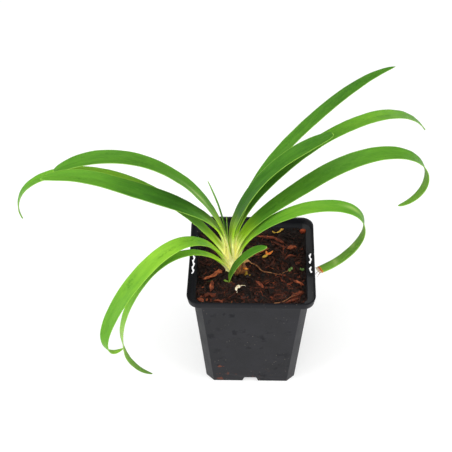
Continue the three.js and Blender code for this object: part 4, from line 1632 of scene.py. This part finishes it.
@dataclass
class Crown:
    """Heart of the neck, which fills the room between the sheaths and parts at its top."""

    rows: int = 60
    sides: int = 64
    foot: float = 72.0
    top: float = 112.0
    fill: float = 0.88
    cleft: float = 0.5

    def build(self) -> None:
        """Build the core and dress it."""
        heights = np.linspace(self.foot, self.top, self.rows)
        z, angle = np.meshgrid(heights, np.linspace(0, 2 * np.pi, self.sides, False), indexing="ij")
        _, axes = ovals_at(z)
        closing = np.sqrt(np.clip((self.top + 1.5 - z) / 10, 0.02, 1))
        full = self.fill * closing * (1 + 0.03 * np.sin(9 * angle + 0.6))
        full = full - self.cleft * smooth((z - 98) / 11) * np.sin(angle + 0.15) ** 2
        inward = np.maximum(axes.mean(axis=-1) * (full - 1), -0.85 * axes.min(axis=-1))
        buffer = MeshBuffer()
        buffer.add_loft(stem_skin(NECK, angle, z, inward))
        mount(buffer.build("crown_heart", SheathFinish().material()), "leaf_sheath", "crown")


# ---- potting mix


@dataclass(frozen=True)
class Chip:
    """One bark chip in the mix: place, turn, half sizes, lift above the mix and lean."""

    x: float
    y: float
    turn: float
    half_length: float
    half_width: float
    lift: float
    lean: float


def hill(x: Array, y: Array, reach: float) -> Array:
    """Height of a round hill, 1 at its middle, at distances from there along x and y."""
    return np.exp(-(x**2 + y**2) / reach**2)


@dataclass
class PottingMix:
    """Bark and peat mix: a crumbly bed with chips, crumbs and fibres lying in it."""

    pot: NurseryPot
    edge_level: float = 85.0
    crowning: float = 2.0
    back_rise: float = 3.6
    mounds: Rows = ((-15.5, -13, 2.6, 7.5), (-5.5, -13.5, 3.2, 4.4), (-16.8, -10.3, 4, 4))
    # Patches that darken the mix: partly damp, partly painted shade under the back wall and round the neck
    # and the stump.
    damp_and_shade_patches: Rows = ((-21, -11, 6), (-4, -17, 6), (30, 34, 15), (-24, 34, 20), (4, 38, 8))
    neck_spot: tuple[float, float] = (-12, -8)
    neck_clear: tuple[float, float] = (9, 8)
    corner_room: float = 5.0
    into_wall: float = 0.4
    relief_count: int = 150
    relief_half: float = 41.0
    seed: int = 20631
    cells: int = 216
    chip_count: int = 640
    chip_length: tuple[float, float] = (2.2, 5.5)
    chip_width: tuple[float, float] = (0.7, 2.3)
    chip_thick: tuple[float, float] = (0.4, 1.0)
    long_chip: float = 2.1
    crumb_count: int = 1250
    crumb_size: tuple[float, float] = (0.25, 0.8)
    fibre_count: int = 300
    fibre_length: tuple[float, float] = (4, 13)
    fibre_radius: tuple[float, float] = (0.08, 0.22)
    bark: Material = field(init=False)
    relief: list[Chip] = field(init=False)
    grain: LatticeNoise = field(init=False)
    random: np.random.Generator = field(init=False)

    def __post_init__(self) -> None:
        """Make the bark's finish and draw the chips that make the frame's relief."""
        self.bark = BarkFinish().material()
        draws = SteadyDraws(self.seed)
        half = self.relief_half
        self.relief = [
            Chip(draws.between(-half, half), draws.between(-half, half), draws.between(0, math.pi),
                 draws.between(2.4, 6), draws.between(1, 2.1), draws.between(0.5, 1.9),
                 draws.between(-0.12, 0.12))
            for _ in range(self.relief_count)
        ]
        self.grain = LatticeNoise(5)
        self.random = np.random.default_rng(self.seed)

    def height(self, x: Array, y: Array) -> Array:
        """Height of the bed, with the frame's relief.

        Args:
            x: Places to the right.
            y: Places away from the front.

        Returns:
            The heights.
        """
        outward = np.clip(np.hypot(x, y) / self.pot.body_top, 0, 1)
        level = self.edge_level + self.crowning * (1 - outward**2) + self.back_rise * smooth((y + 4) / 40)
        best = level.copy()
        for chip in self.relief:
            c, s = math.cos(chip.turn), math.sin(chip.turn)
            along = (x - chip.x) * c + (y - chip.y) * s
            aside = (y - chip.y) * c - (x - chip.x) * s
            edge = np.maximum(np.abs(along) / chip.half_length, np.abs(aside) / chip.half_width)
            rise = (chip.lift + chip.lean * along) * smooth((1.3 - edge) / 0.5)
            best = np.maximum(best, level + np.where(edge < 1.3, rise, 0))
        for at_x, at_y, rise, reach in self.mounds:
            best = best + rise * hill(x - at_x, y - at_y, reach)
        return best

    def dryness_and_light(self, x: Array, y: Array) -> Array:
        """How much of the mix's tint stays: 1 in the open, less in damp patches and where shade is painted.
        """
        wet = [hill(x - at_x, y - at_y, reach) for at_x, at_y, reach in self.damp_and_shade_patches]
        return 1 - 0.6 * np.clip(sum(wet), 0, 1)

    def on_top(self, x: float, y: float, lift: float = 0.0) -> Spot:
        """A point at a height above the bed."""
        return (x, y, float(self.height(np.array([x]), np.array([y]))[0]) + lift)

    def within(self, x: Array, y: Array, inset: float) -> tuple[Array, Array]:
        """Pull places into the pot's chamfered outline.

        Args:
            x: Places to the right.
            y: Places away from the front.
            inset: How far inside the body's outside to stay.

        Returns:
            The places, moved where they lay outside.
        """
        half, chamfer = self.pot.body_outside(self.edge_level)
        half = half - inset
        over = np.maximum(np.abs(x) + np.abs(y) - (2 * half - chamfer), 0) / 2
        return x - np.sign(x) * over, y - np.sign(y) * over

    def build_bed(self) -> None:
        """Build the bed, closed down to the pot's floor."""
        half, _ = self.pot.body_outside(self.edge_level)
        reach = half - self.pot.wall + self.into_wall
        side = np.linspace(-reach, reach, self.cells + 1)
        x, y = np.meshgrid(side, side, indexing="ij")
        x, y = self.within(x, y, self.pot.wall - self.into_wall)
        z = self.height(x, y)
        spots = np.stack([x, y, 0 * x], -1)
        coarse = np.abs(self.grain.layered(spots, 3.4, 2))
        fine = np.abs(self.grain.layered(spots + 40, 1.5, 2))
        z = z + (0.9 * coarse + 0.5 * fine) - 1.0 + 0.2 * self.grain.layered(spots, 0.7, 2)
        top = np.stack([x, y, z], -1).reshape(-1, 3)
        row = self.cells + 1
        near = np.arange(row * row).reshape(row, row)
        quads = np.stack([near[:-1, :-1], near[1:, :-1], near[1:, 1:], near[:-1, 1:]], -1).reshape(-1, 4)
        rim = np.concatenate((near[:-1, 0], near[-1, :-1], near[:0:-1, -1], near[0, :0:-1]))
        floor_z = self.pot.floor_under + self.pot.floor_thick
        low_half, _ = self.pot.body_outside(floor_z)
        shrink = (low_half - self.pot.wall - 0.05) / reach
        skirt = top[rim] * (shrink, shrink, 0) + (0, 0, floor_z + 0.05)
        count = len(rim)
        ring = np.arange(count)
        after = np.roll(ring, -1)
        wall = np.stack([rim, rim[after], after + len(top), ring + len(top)], -1)
        centre = len(top) + count
        bottom = np.stack([ring + len(top), after + len(top), np.full(count, centre)], -1)
        points = self.pot.settled(np.concatenate((top, skirt, [[0, 0, floor_z + 0.05]])))
        lumps = self.grain.layered(np.concatenate((spots.reshape(-1, 3), skirt, [[0, 0, 0]])), 4.5, 3)
        tint = (0.24 + 0.2 * lumps) * self.dryness_and_light(points[:, 0], points[:, 1])
        buffer = MeshBuffer()
        buffer.add(points, quads, {"tint": tint, "grain": points})
        buffer.faces.extend(map(tuple, wall.tolist()))
        buffer.faces.extend(map(tuple, bottom.tolist()))
        mount(buffer.build("mix_bed", self.bark, 70), "potting_mix", "potting_mix")

    def slab_rings(self, length: float, width: float, thick: float, seed: int) -> tuple[Array, Array]:
        """A split piece of bark round the origin, with splintered ends.

        Args:
            length: Its length.
            width: Its width.
            thick: Its thickness.
            seed: Fixes its irregular outline.

        Returns:
            Ring points, and their places on the piece.
        """
        draw = np.random.default_rng(seed)
        stations, sides = 7, 8
        t = np.linspace(0, 1, stations)
        blunt = draw.uniform(0.25, 0.9, 2)
        near = np.interp(t, (0, 0.18, 1), (blunt[0], 1, 1))
        far = np.interp(t, (0, 0.8, 1), (1, 1, blunt[1]))
        outline = np.minimum(near, far) * draw.uniform(0.8, 1.1, stations)
        bow = draw.uniform(-0.12, 0.12) * length * (t - 0.5) ** 2 * 4
        angle = (np.arange(sides) + 0.5) * 2 * np.pi / sides
        box = 1 / np.maximum(np.abs(np.cos(angle)), np.abs(np.sin(angle))) ** 0.7
        jitter = draw.uniform(0.82, 1.12, (stations, sides))
        y = np.cos(angle) * box * jitter * (outline * width / 2)[:, None]
        z = np.sin(angle) * box * jitter * (thick / 2) * np.clip(outline, 0.6, 1)[:, None] + bow[:, None]
        ends = np.zeros((stations, sides))
        ends[[0, -1]] = draw.uniform(-0.09, 0.09, (2, sides)) * length
        x = ((t - 0.5) * length)[:, None] + ends
        rings = np.stack([x, y, z], -1)
        return rings, rings + draw.uniform(-90, 90, 3)

    def free_spot(self, inset: float) -> tuple[float, float]:
        """Draw a spot on the bed that is clear of the neck.

        Args:
            inset: Distance to keep from the pot's wall.

        Returns:
            The spot in x and y.
        """
        reach = self.pot.body_outside(self.edge_level)[0] - self.pot.wall - inset
        (neck_x, neck_y), (wide, deep) = self.neck_spot, self.neck_clear
        while True:
            x, y = self.random.uniform(-reach, reach, 2)
            clear = math.hypot((x - neck_x) / wide, (y - neck_y) / deep) > 1
            if clear and abs(x) + abs(y) < 2 * reach - self.corner_room:
                return x, y

    def build_chips(self) -> None:
        """Scatter bark chips over the bed."""
        buffer = MeshBuffer()
        draw = self.random
        for index in range(self.chip_count):
            length = draw.uniform(*self.chip_length) * (self.long_chip if index % 6 == 0 else 1)
            width, thick = draw.uniform(*self.chip_width), draw.uniform(*self.chip_thick)
            x, y = self.free_spot(length / 2 + 0.4)
            rings, grain = self.slab_rings(length, width, thick, 1000 + index)
            turn = Matrix.Rotation(draw.uniform(0, 2 * math.pi), 3, "Z")
            turn = turn @ Matrix.Rotation(draw.normal(0, 0.2), 3, "Y")
            turn = turn @ Matrix.Rotation(draw.normal(0, 0.35), 3, "X")
            place = np.array(self.on_top(x, y, draw.uniform(-0.5, 0.5)))
            tint = np.clip(draw.normal(0.4, 0.17), 0.04, 0.9) * self.dryness_and_light(x, y)
            buffer.add_loft(rings @ np.array(turn).T + place, {"tint": tint, "grain": grain})
        mount(buffer.build("mix_chips", self.bark, 35), "potting_mix")

    def build_crumbs(self) -> None:
        """Scatter small peat crumbs."""
        buffer = MeshBuffer()
        draw = self.random
        angle = np.arange(5) * 2 * np.pi / 5
        lump = np.array([[(math.cos(a) * r, math.sin(a) * r, h) for a in angle]
                         for r, h in ((0.55, -0.7), (1, -0.1), (0.6, 0.65))])
        for _ in range(self.crumb_count):
            size = draw.uniform(*self.crumb_size)
            x, y = self.free_spot(0.6)
            rings = lump * size * draw.uniform(0.65, 1.25, (3, 5, 1))
            turn = np.array(Matrix.Rotation(draw.uniform(0, 6.28), 3, Vector(draw.normal(0, 1, 3))))
            points = rings @ turn.T + np.array(self.on_top(x, y, size * 0.35))
            values = {"tint": np.clip(draw.normal(0.27, 0.16), 0, 0.8) * self.dryness_and_light(x, y), "grain": points}
            buffer.add_loft(points, values)
        mount(buffer.build("mix_crumbs", self.bark, 50), "potting_mix")

    def build_fibres(self) -> None:
        """Lay fine peat fibres over the bed."""
        buffer = MeshBuffer()
        draw = self.random
        steps = 9
        arch = np.sin(np.linspace(0, math.pi, steps))
        for _ in range(self.fibre_count):
            length = draw.uniform(*self.fibre_length)
            x, y = self.free_spot(length * 0.55)
            heading = draw.uniform(0, 2 * math.pi) + np.cumsum(draw.normal(0, 0.22, steps))
            xs = x + np.cumsum(np.cos(heading)) * length / steps * 0.5
            ys = y + np.cumsum(np.sin(heading)) * length / steps * 0.5
            lifts = draw.uniform(0.15, 0.6) + 0.5 * np.abs(draw.normal(0, 0.4)) * arch
            path = np.stack([xs, ys, self.height(xs, ys) + lifts], -1)
            path[:, 2] = np.convolve(np.pad(path[:, 2], 1, "edge"), (0.25, 0.5, 0.25), "valid")
            radius = draw.uniform(*self.fibre_radius) * (1 - 0.5 * np.linspace(0, 1, steps))
            rings = rod_rings(path, radius, radius, 4)
            values = {"tint": np.clip(draw.normal(0.55, 0.2), 0.1, 1) * self.dryness_and_light(x, y), "grain": rings}
            buffer.add_loft(rings, values)
        mount(buffer.build("mix_fibres", self.bark, 60), "potting_mix")

    def build(self) -> None:
        """Build the bed and everything loose in it."""
        self.build_bed()
        self.build_chips()
        self.build_crumbs()
        self.build_fibres()


# ---- rhizome and litter


@dataclass(frozen=True)
class Husk:
    """The torn base of an old leaf, wrapped part of the way round a stem.

    It runs from one angle to another, in degrees, and from its foot up to a ragged top.
    """

    stem: tuple[NeckSection, ...]
    start: float
    end: float
    low: float
    high: float
    out: float


HUSKS = (
    Husk(STUMP, -190, 60, 79, 97, 0.1),
    Husk(STUMP, -150, 20, 79, 91.5, 0.45),
    Husk(STUMP, -120, 90, 79, 88.5, 0.75),
    Husk(STUMP, -160, -40, 79, 86, 1.0),
    Husk(NECK, -104, 10, 79, 94, 0.7),
    Husk(NECK, -94, -10, 79, 97.5, 0.5),
    Husk(NECK, -84, 46, 79, 101, 0.35),
)


@dataclass
class Rhizome:
    """Fibrous stump beside the neck, wrapped in the husks of old leaf bases."""

    # Painted shade darkens the stump and its husks towards their foot.
    finish: HuskFinish = HuskFinish(
        "rhizome", shade(150, 92, 42), shade(58, 34, 18), shade(196, 122, 46), foot_shade=0.85,
    )
    husks: tuple[Husk, ...] = HUSKS
    rows: int = 46
    sides: int = 56
    columns: int = 15
    husk_wall: float = 0.3
    husk_steps: int = 70
    fibre_count: int = 46
    fibre_foot: float = 80.0
    fibre_top: tuple[float, float] = (86, 94)
    fibre_rows: int = 12

    def build_stump(self, material: Material) -> None:
        """Build the ringed stump.

        Args:
            material: Its finish.
        """
        heights = np.linspace(STUMP[0].z, STUMP[-1].z, self.rows)
        z, angle = np.meshgrid(heights, np.linspace(0, 2 * np.pi, self.sides, False), indexing="ij")
        noise = LatticeNoise(31)
        spots = np.stack([3 * np.cos(angle), 3 * np.sin(angle), z * 0.5], -1)
        rings = 0.22 * np.sin(z * 2.9 + noise.at(spots, 2) * 2)
        skin = stem_skin(STUMP, angle, z, rings + 0.55 * noise.layered(spots, 1.4) - 0.2)
        buffer = MeshBuffer()
        buffer.add_loft(skin, {"grain": np.stack([z, angle * 5, 0 * z], -1)})
        mount(buffer.build("rhizome_stump", material), "rhizome", "rhizome")

    def add_husk(self, buffer: MeshBuffer, husk: Husk, seed: int) -> None:
        """Wrap one husk round its stem.

        Args:
            buffer: Takes the husk.
            husk: The husk.
            seed: Fixes its ragged edge.
        """
        noise = LatticeNoise(seed)
        angle = np.radians(np.linspace(husk.start, husk.end, self.husk_steps))
        walk = np.stack([angle * 5, 0 * angle, 0 * angle], -1)
        shoulder = np.sin(np.linspace(0.02, np.pi - 0.02, self.husk_steps)) ** 0.5
        torn = 1 + 0.16 * noise.layered(walk, 2.6) + 0.1 * noise.layered(walk, 0.6, 2)
        top = husk.low + (husk.high - husk.low) * np.clip(shoulder * torn, 0.05, 1.15)
        rise = np.linspace(0, 1, self.columns)
        z = mix(husk.low, top[:, None], rise)
        around = np.repeat(angle[:, None], self.columns, axis=1)
        spots = np.stack([around * 5, 0 * z, z * 0.25], -1)
        lift = husk.out + 0.25 * noise.layered(spots, 1.4) + 0.5 * rise**3
        wall = self.husk_wall * np.sqrt(np.clip(1 - np.abs(2 * rise - 1) ** 6, 0, 1))
        outer = stem_skin(husk.stem, around, z, lift + wall / 2)
        inner = stem_skin(husk.stem, around, z, lift - wall / 2)
        along = wrapped_round(z, z)
        aside = np.repeat(angle[:, None] * 5, along.shape[1], axis=1)
        grain = np.stack([along, aside, 0 * along + seed], -1)
        buffer.add_loft(wrapped_round(outer, inner), {"grain": grain})

    def build_husks(self, material: Material) -> None:
        """Build all husks and the loose fibres on them.

        Args:
            material: Their finish.
        """
        buffer = MeshBuffer()
        for index, husk in enumerate(self.husks):
            self.add_husk(buffer, husk, 61 + index)
        draw = np.random.default_rng(83)
        rows = self.fibre_rows
        radius = np.linspace(0.2, 0.09, rows)
        for _ in range(self.fibre_count):
            stem, low, high = (STUMP, -150, 60) if draw.random() < 0.6 else (NECK, -95, 10)
            z = np.linspace(self.fibre_foot, draw.uniform(*self.fibre_top), rows)
            angle = math.radians(draw.uniform(low, high)) + np.cumsum(draw.normal(0, 0.05, rows))
            path = stem_skin(stem, angle, z, 1.1 + 0.3 * np.abs(np.cumsum(draw.normal(0, 0.4, rows))))
            rings = rod_rings(path, radius, radius, 5)
            buffer.add_loft(rings, {"grain": rings})
        mount(buffer.build("rhizome_husks", material, 60), "rhizome")

    def build(self) -> None:
        """Build the stump and its husks."""
        material = self.finish.material()
        self.build_stump(material)
        self.build_husks(material)


class Outline(Enum):
    """How a strip's width runs from its start to its end."""

    POINTED = "pointed"
    DOMED = "domed"
    TAPERING = "tapering"
    SPLIT = "split"

    def shares(self, t: Array) -> tuple[Array, Array]:
        """Shares of the strip's half width and half thickness.

        Args:
            t: Places from 0 at the start to 1 at the end.

        Returns:
            Both shares at each place.
        """
        if self is Outline.POINTED:
            return 0.35 + 0.65 * np.sin(np.pi * np.clip(t, 0.02, 0.98)), np.ones_like(t)
        if self is Outline.DOMED:
            fall = np.sqrt(1 - 0.9 * np.clip((t - 0.4) / 0.6, 0, 1) ** 2)
            return fall, fall
        if self is Outline.SPLIT:
            return np.minimum(np.minimum(0.2 + 2.6 * t, 0.5 + 4 * (1 - t)), 1), np.ones_like(t)
        return 1 - 0.62 * t, 1 - 0.62 * t


@dataclass(frozen=True)
class Strip:
    """One strip of bark, root or litter: name, slot, outline, half width, half thickness, route.

    The route's third number is a lift above the bed where the strip lies `loose`, else a height.
    `square` goes from 0, oval, to 1, split square, and `tint` from 0, black, to 1, fresh.
    """

    name: str
    slot: str
    outline: Outline
    wide: float
    thick: float
    route: tuple[Spot, ...]
    loose: bool = True
    square: float = 0.0
    uneven: float = 0.15
    tint: float = 0.6


def shred(name: str, wide: float, thick: float, route: tuple[Spot, ...], tint: float,
          square: float = 0.7, uneven: float = 0.3) -> Strip:
    """Describe a split piece of bark that lies loose on the bed."""
    return Strip(name, "bark", Outline.SPLIT, wide, thick, route, True, square, uneven, tint)


STRIPS = (
    Strip("side_shoot_bud", "bud", Outline.POINTED, 0.95, 0.6,
          ((-14.3, -16.4, 88.7), (-16.9, -17, 89), (-20, -17, 90.7)), loose=False),
    Strip("rhizome_bud", "yellow_scrap", Outline.TAPERING, 1.9, 1.3,
          ((-4.6, -10, 85.5), (-4, -11, 90), (-4.1, -11.2, 94.4)), loose=False, uneven=0.3),
    Strip("nub_tail", "yellow_scrap", Outline.TAPERING, 0.6, 0.45,
          ((-3.6, -11.4, 89.4), (-2, -11.4, 90.2), (-0.8, -10.8, 90.2)), loose=False),
    Strip("nub_scale", "orange_scrap", Outline.POINTED, 1.2, 0.5,
          ((-6.2, -9.2, 95), (-4.3, -10.2, 95.9), (-2.7, -9.6, 94.8)), loose=False, uneven=0.35),
    Strip("dry_sheath", "papery", Outline.TAPERING, 3.4, 0.3,
          ((-9, -5, 95.6), (-6, -2.4, 95.4), (-2.9, 0.2, 93.9), (-0.9, 1.2, 91), (0.3, 1.9, 88.8)),
          loose=False, uneven=0.22),
    Strip("surface_root", "root", Outline.TAPERING, 0.5, 0.44,
          ((-0.2, 2, 1.3), (3.8, 0.2, 1), (5.8, -3.6, 0.8), (8.4, -6, 0.7), (13.4, -6.8, 0.6),
          (19.5, -7, 0.6), (23.6, -4.7, 0.6), (27.4, -2.3, 0.5))),
    Strip("seedling_near", "seedling", Outline.DOMED, 1.45, 0.3,
          ((28, -2.6, 1), (28.8, -2.5, 1.5), (29.6, -2.7, 1.3))),
    Strip("seedling_near_leaf", "seedling", Outline.DOMED, 1.4, 0.3,
          ((28, -2.6, 1), (27.2, -2.8, 1.6), (26.4, -2.9, 1.3))),
    Strip("seedling_near_stem", "seedling", Outline.TAPERING, 0.35, 0.35, ((28.2, -2, -1), (28, -2.9, 1))),
    Strip("seedling_far", "seedling", Outline.DOMED, 1.4, 0.3,
          ((36.4, -2.5, 1), (37.2, -2.4, 1.5), (38, -2.6, 1.3))),
    Strip("seedling_far_leaf", "seedling", Outline.DOMED, 1.35, 0.3,
          ((36.4, -2.5, 1), (35.6, -2.7, 1.5), (34.8, -2.7, 1.3))),
    Strip("bark_chip_long", "bark", Outline.TAPERING, 2.1, 0.9,
          ((-22.2, -4.9, 1.5), (-27.6, -8.8, 1.3), (-34.8, -13.2, 0.8)), square=0.7, uneven=0.25,
          tint=0.95),
    shred("bark_chip_upright", 1.3, 0.8, ((-29.2, -25.2, 0.4), (-28.7, -20.6, 0.9), (-28, -16.1, 0.8)),
          0.76, uneven=0.25),
    Strip("bark_nugget_red", "red_bark", Outline.SPLIT, 2, 1.4,
          ((35.8, 35.2, 1.2), (38, 35.4, 1.6), (39.6, 35, 1.3)), square=0.4, uneven=0.5, tint=0.5),
    Strip("bark_nugget_round", "bark", Outline.POINTED, 2.2, 1.2,
          ((26, 18, 0.7), (29.4, 18.8, 1), (32.6, 19.6, 0.7)), square=0.3, uneven=0.4, tint=0.86),
    shred("bark_sliver_right", 0.85, 0.6, ((29.9, -14.2, 0.6), (33.5, -15.4, 1), (37.2, -16.6, 0.6)),
          0.86, square=0.6, uneven=0.25),
    shred("bark_sliver_front", 1, 0.7, ((24, -35, 0.5), (29, -32.6, 1), (33.6, -30.4, 0.6)),
          0.7, square=0.6),
    Strip("white_rootlet", "rootlet", Outline.TAPERING, 1.25, 1.1,
          ((-8.3, -21.2, 1.7), (-9.7, -21.6, 2), (-10.8, -22.9, 1.9), (-11, -24.5, 1.6),
          (-10.4, -26.3, 1.2)), uneven=0.15),
    Strip("rootlet_tail", "rootlet", Outline.TAPERING, 0.34, 0.3,
          ((-8.9, -21.4, 1.9), (-7.6, -20.8, 1.7), (-6.2, -20.4, 1.4), (-4, -20.2, 1.1)), uneven=0.08),
    Strip("fallen_bract", "orange_scrap", Outline.POINTED, 1, 0.4,
          ((10.2, 10.5, 1), (12.6, 11.7, 1.6), (15.4, 14.2, 2)), uneven=0.35),
    Strip("bract_prong", "orange_scrap", Outline.POINTED, 0.85, 0.35,
          ((11.4, 10.8, 1.2), (10.9, 12.3, 1.7), (10.3, 14, 2.1)), uneven=0.35),
    Strip("bract_foot", "yellow_scrap", Outline.POINTED, 1.1, 0.45,
          ((7.7, 8.8, 0.9), (9.8, 10.1, 1.3), (12.6, 12, 1.5)), uneven=0.35),
    Strip("fallen_strip", "yellow_scrap", Outline.POINTED, 0.85, 0.4,
          ((14.8, 35.7, 1), (17.1, 33.7, 0.9), (19.8, 34.7, 1.3), (22.1, 36.6, 1.3), (23.5, 38, 1.2)),
          uneven=0.35),
    shred("shred_far", 0.95, 0.6, ((3.2, 28, 0.8), (9.5, 26.8, 1), (16.9, 26.4, 1), (24.2, 23.1, 0.6)),
          0.7, square=0.6, uneven=0.25),
    shred("shred_far_low", 0.8, 0.5, ((14.4, 22.8, 0.7), (20.1, 21.5, 1), (26.2, 18.4, 0.6)),
          0.58, square=0.6, uneven=0.25),
    shred("shred_middle", 0.95, 0.5, ((-2.8, 7.6, 1), (2, 11, 1), (7.4, 15, 1.1), (12.6, 17, 0.6)),
          0.84, square=0.5, uneven=0.2),
    shred("shred_right", 0.7, 0.5, ((23.5, 7.6, 0.6), (28, 10.4, 1.2), (32.6, 10.8, 0.6)),
          0.62, square=0.5, uneven=0.25),
    shred("lump_low_right", 1.5, 1, ((27, -30.4, 0.3), (32, -26.6, 1.2), (37, -23, 0.6)),
          0.68, square=0.5, uneven=0.45),
    shred("chip_front_left", 1.4, 0.8, ((-34.2, -28.8, 0.5), (-30.2, -27.3, 1), (-25.9, -29, 0.5)), 0.66),
    shred("chip_front_red", 1, 0.7, ((-38.4, -32.6, 0.4), (-36.6, -33.1, 0.9), (-34.2, -34.2, 0.4)), 0.8),
    shred("chip_front_low", 1, 0.7, ((-26.8, -32.8, 0.4), (-23.6, -33.1, 1), (-20.4, -34.4, 0.4)), 0.72),
    shred("chip_side_left", 0.9, 0.7, ((-38.2, -9.5, 0.3), (-35, -10.5, 0.9), (-32, -11.6, 0.3)), 0.56),
    shred("chip_middle_a", 1.15, 0.7, ((2.4, -15.6, 0.3), (5.6, -17.4, 1), (8.4, -21, 0.3)), 0.68),
    shred("chip_middle_b", 1, 0.7, ((9.4, -20, 0.3), (12.8, -21.2, 1.1), (16.4, -19.6, 0.3)), 0.62),
    Strip("strand_front", "root", Outline.TAPERING, 0.42, 0.4,
          ((15.5, -35.7, 0.5), (22.4, -34.4, 1.2), (29, -29.6, 1.6), (32.6, -27, 1.4))),
    Strip("moss_thread", "moss", Outline.TAPERING, 0.3, 0.25,
          ((-32.3, -14.9, 0.8), (-29, -14, 1.1), (-25.1, -13.2, 1))),
    Strip("cut_fibre_long", "root", Outline.TAPERING, 0.22, 0.12,
          ((49.2, -9.2, 91.2), (48, -10, 90), (47.2, -10.6, 88)), loose=False),
    Strip("cut_fibre_short", "root", Outline.TAPERING, 0.26, 0.12,
          ((48.2, -7, 90.8), (46.8, -7.4, 89.8), (46, -8.2, 88.4)), loose=False),
    shred("wet_clod_left", 1.2, 1, ((-9.4, -13.4, 0.8), (-7.6, -13.9, 1.5), (-5.8, -13.8, 0.9)),
          0.14, square=0.4, uneven=0.6),
    shred("wet_clod_right", 1.1, 1, ((-5.6, -13.9, 0.8), (-3.8, -13.8, 1.5), (-1.6, -12.9, 0.8)),
          0.2, square=0.4, uneven=0.6),
    shred("wet_clod_front", 1, 0.8, ((-13.4, -17.2, 0.8), (-12.2, -17.5, 1.3), (-10.6, -17, 0.8)),
          0.16, square=0.4, uneven=0.6),
)


@dataclass
class Litter:
    """The buds, roots, seedlings, bark and scraps that show one by one."""

    bed: PottingMix
    strips: tuple[Strip, ...] = STRIPS
    rows: int = 44
    sides: int = 18
    end_round: float = 0.07
    split_reach: float = 1.6

    def materials(self) -> dict[str, Material]:
        """Build the finishes, by slot.

        Returns:
            Each finish by the name that the strips use.
        """
        husks = (
            HuskFinish("papery", shade(214, 154, 98), shade(150, 92, 52), shade(112, 66, 36)),
            HuskFinish("root", shade(164, 108, 66), shade(96, 58, 36), shade(200, 150, 100)),
            HuskFinish("rootlet", shade(244, 236, 214), shade(214, 196, 160), shade(186, 140, 92), 0.5, 0.2),
            HuskFinish("orange_scrap", shade(240, 150, 48), shade(206, 84, 34), shade(236, 190, 70)),
            HuskFinish("yellow_scrap", shade(206, 172, 58), shade(150, 108, 34), shade(120, 84, 30)),
            HuskFinish("seedling", shade(116, 146, 70), shade(72, 104, 46), shade(140, 164, 98), 0.5, 0.15),
            HuskFinish("moss", shade(44, 62, 28), shade(24, 36, 16), shade(60, 80, 36)),
            HuskFinish("bud", shade(126, 156, 44), shade(84, 128, 30), shade(150, 176, 80), 0.45, 0.2),
        )
        red = ((0.0, shade(60, 22, 12)), (0.45, shade(140, 56, 32)), (1.0, shade(206, 98, 58)))
        made = {husk.name: husk.material() for husk in husks}
        made["bark"] = BarkFinish("bark").material()
        made["red_bark"] = BarkFinish("red_bark", red).material()
        return made

    def build_strip(self, strip: Strip, material: Material, seed: int) -> None:
        """Build one strip and dress it.

        Args:
            strip: The strip.
            material: Its finish.
            seed: Fixes its unevenness.
        """
        spots = [self.bed.on_top(*spot) if strip.loose else spot for spot in strip.route]
        path = path_through(spots, self.rows)
        t = np.linspace(0, 1, self.rows)
        wide, thick = strip.outline.shares(t)
        ends = np.sqrt(np.clip(np.minimum(t, 1 - t) / self.end_round, 0.03, 1))
        _, across, raised = ring_frames(path)
        angle = (np.arange(self.sides) + 0.5) * 2 * np.pi / self.sides
        walked = np.concatenate(([0], np.cumsum(np.linalg.norm(np.diff(path, axis=0), axis=1))))[:, None]
        grain = np.stack([walked + 0 * angle, strip.wide * np.cos(angle) + 0 * walked,
                          strip.thick * np.sin(angle) + 0 * walked], -1)
        noise = LatticeNoise(seed)
        corner = np.maximum(np.abs(np.cos(angle)), np.abs(np.sin(angle))) ** -strip.square
        lumps = noise.layered(grain, 2.4) + 1.4 * noise.at(grain * (0.2, 1, 1), 0.8)
        swell = corner * (1 + strip.uneven * lumps)
        aside = np.cos(angle) * swell * (wide * ends * strip.wide)[:, None]
        up = np.sin(angle) * swell * (thick * ends * strip.thick)[:, None]
        rings = path[:, None] + across[:, None] * aside[..., None] + raised[:, None] * up[..., None]
        splinter = strip.square * self.split_reach * noise.at(grain * (0, 1, 1) + 9, 0.7)
        splinter = splinter * (np.abs(2 * t - 1) ** 5)[:, None]
        rings = rings + unit(np.gradient(path, axis=0))[:, None] * splinter[..., None]
        buffer = MeshBuffer()
        buffer.add_loft(rings, {"grain": grain + 17 * seed, "tint": strip.tint})
        node = strip.name if strip.name in SLOTS else ""
        slot = {"bud": "leaf_bright", "moss": "seedling", "root": "papery"}.get(strip.slot, strip.slot)
        mount(buffer.build(strip.name + "_detail", material, 45), slot, node)

    def build(self) -> None:
        """Build every strip."""
        materials = self.materials()
        for index, strip in enumerate(self.strips):
            self.build_strip(strip, materials[strip.slot], 200 + index)


# ---- assembly


def main() -> None:
    """Build the studio and the part, from the pot upwards."""
    logging.basicConfig(level=logging.INFO, format="%(name)s %(message)s")
    Studio().build()
    pot = NurseryPot()
    pot.build()
    bed = PottingMix(pot)
    bed.build()
    Crown().build()
    LeafFan().build()
    Rhizome().build()
    Litter(bed).build()


if __name__ == "__main__":
    main()
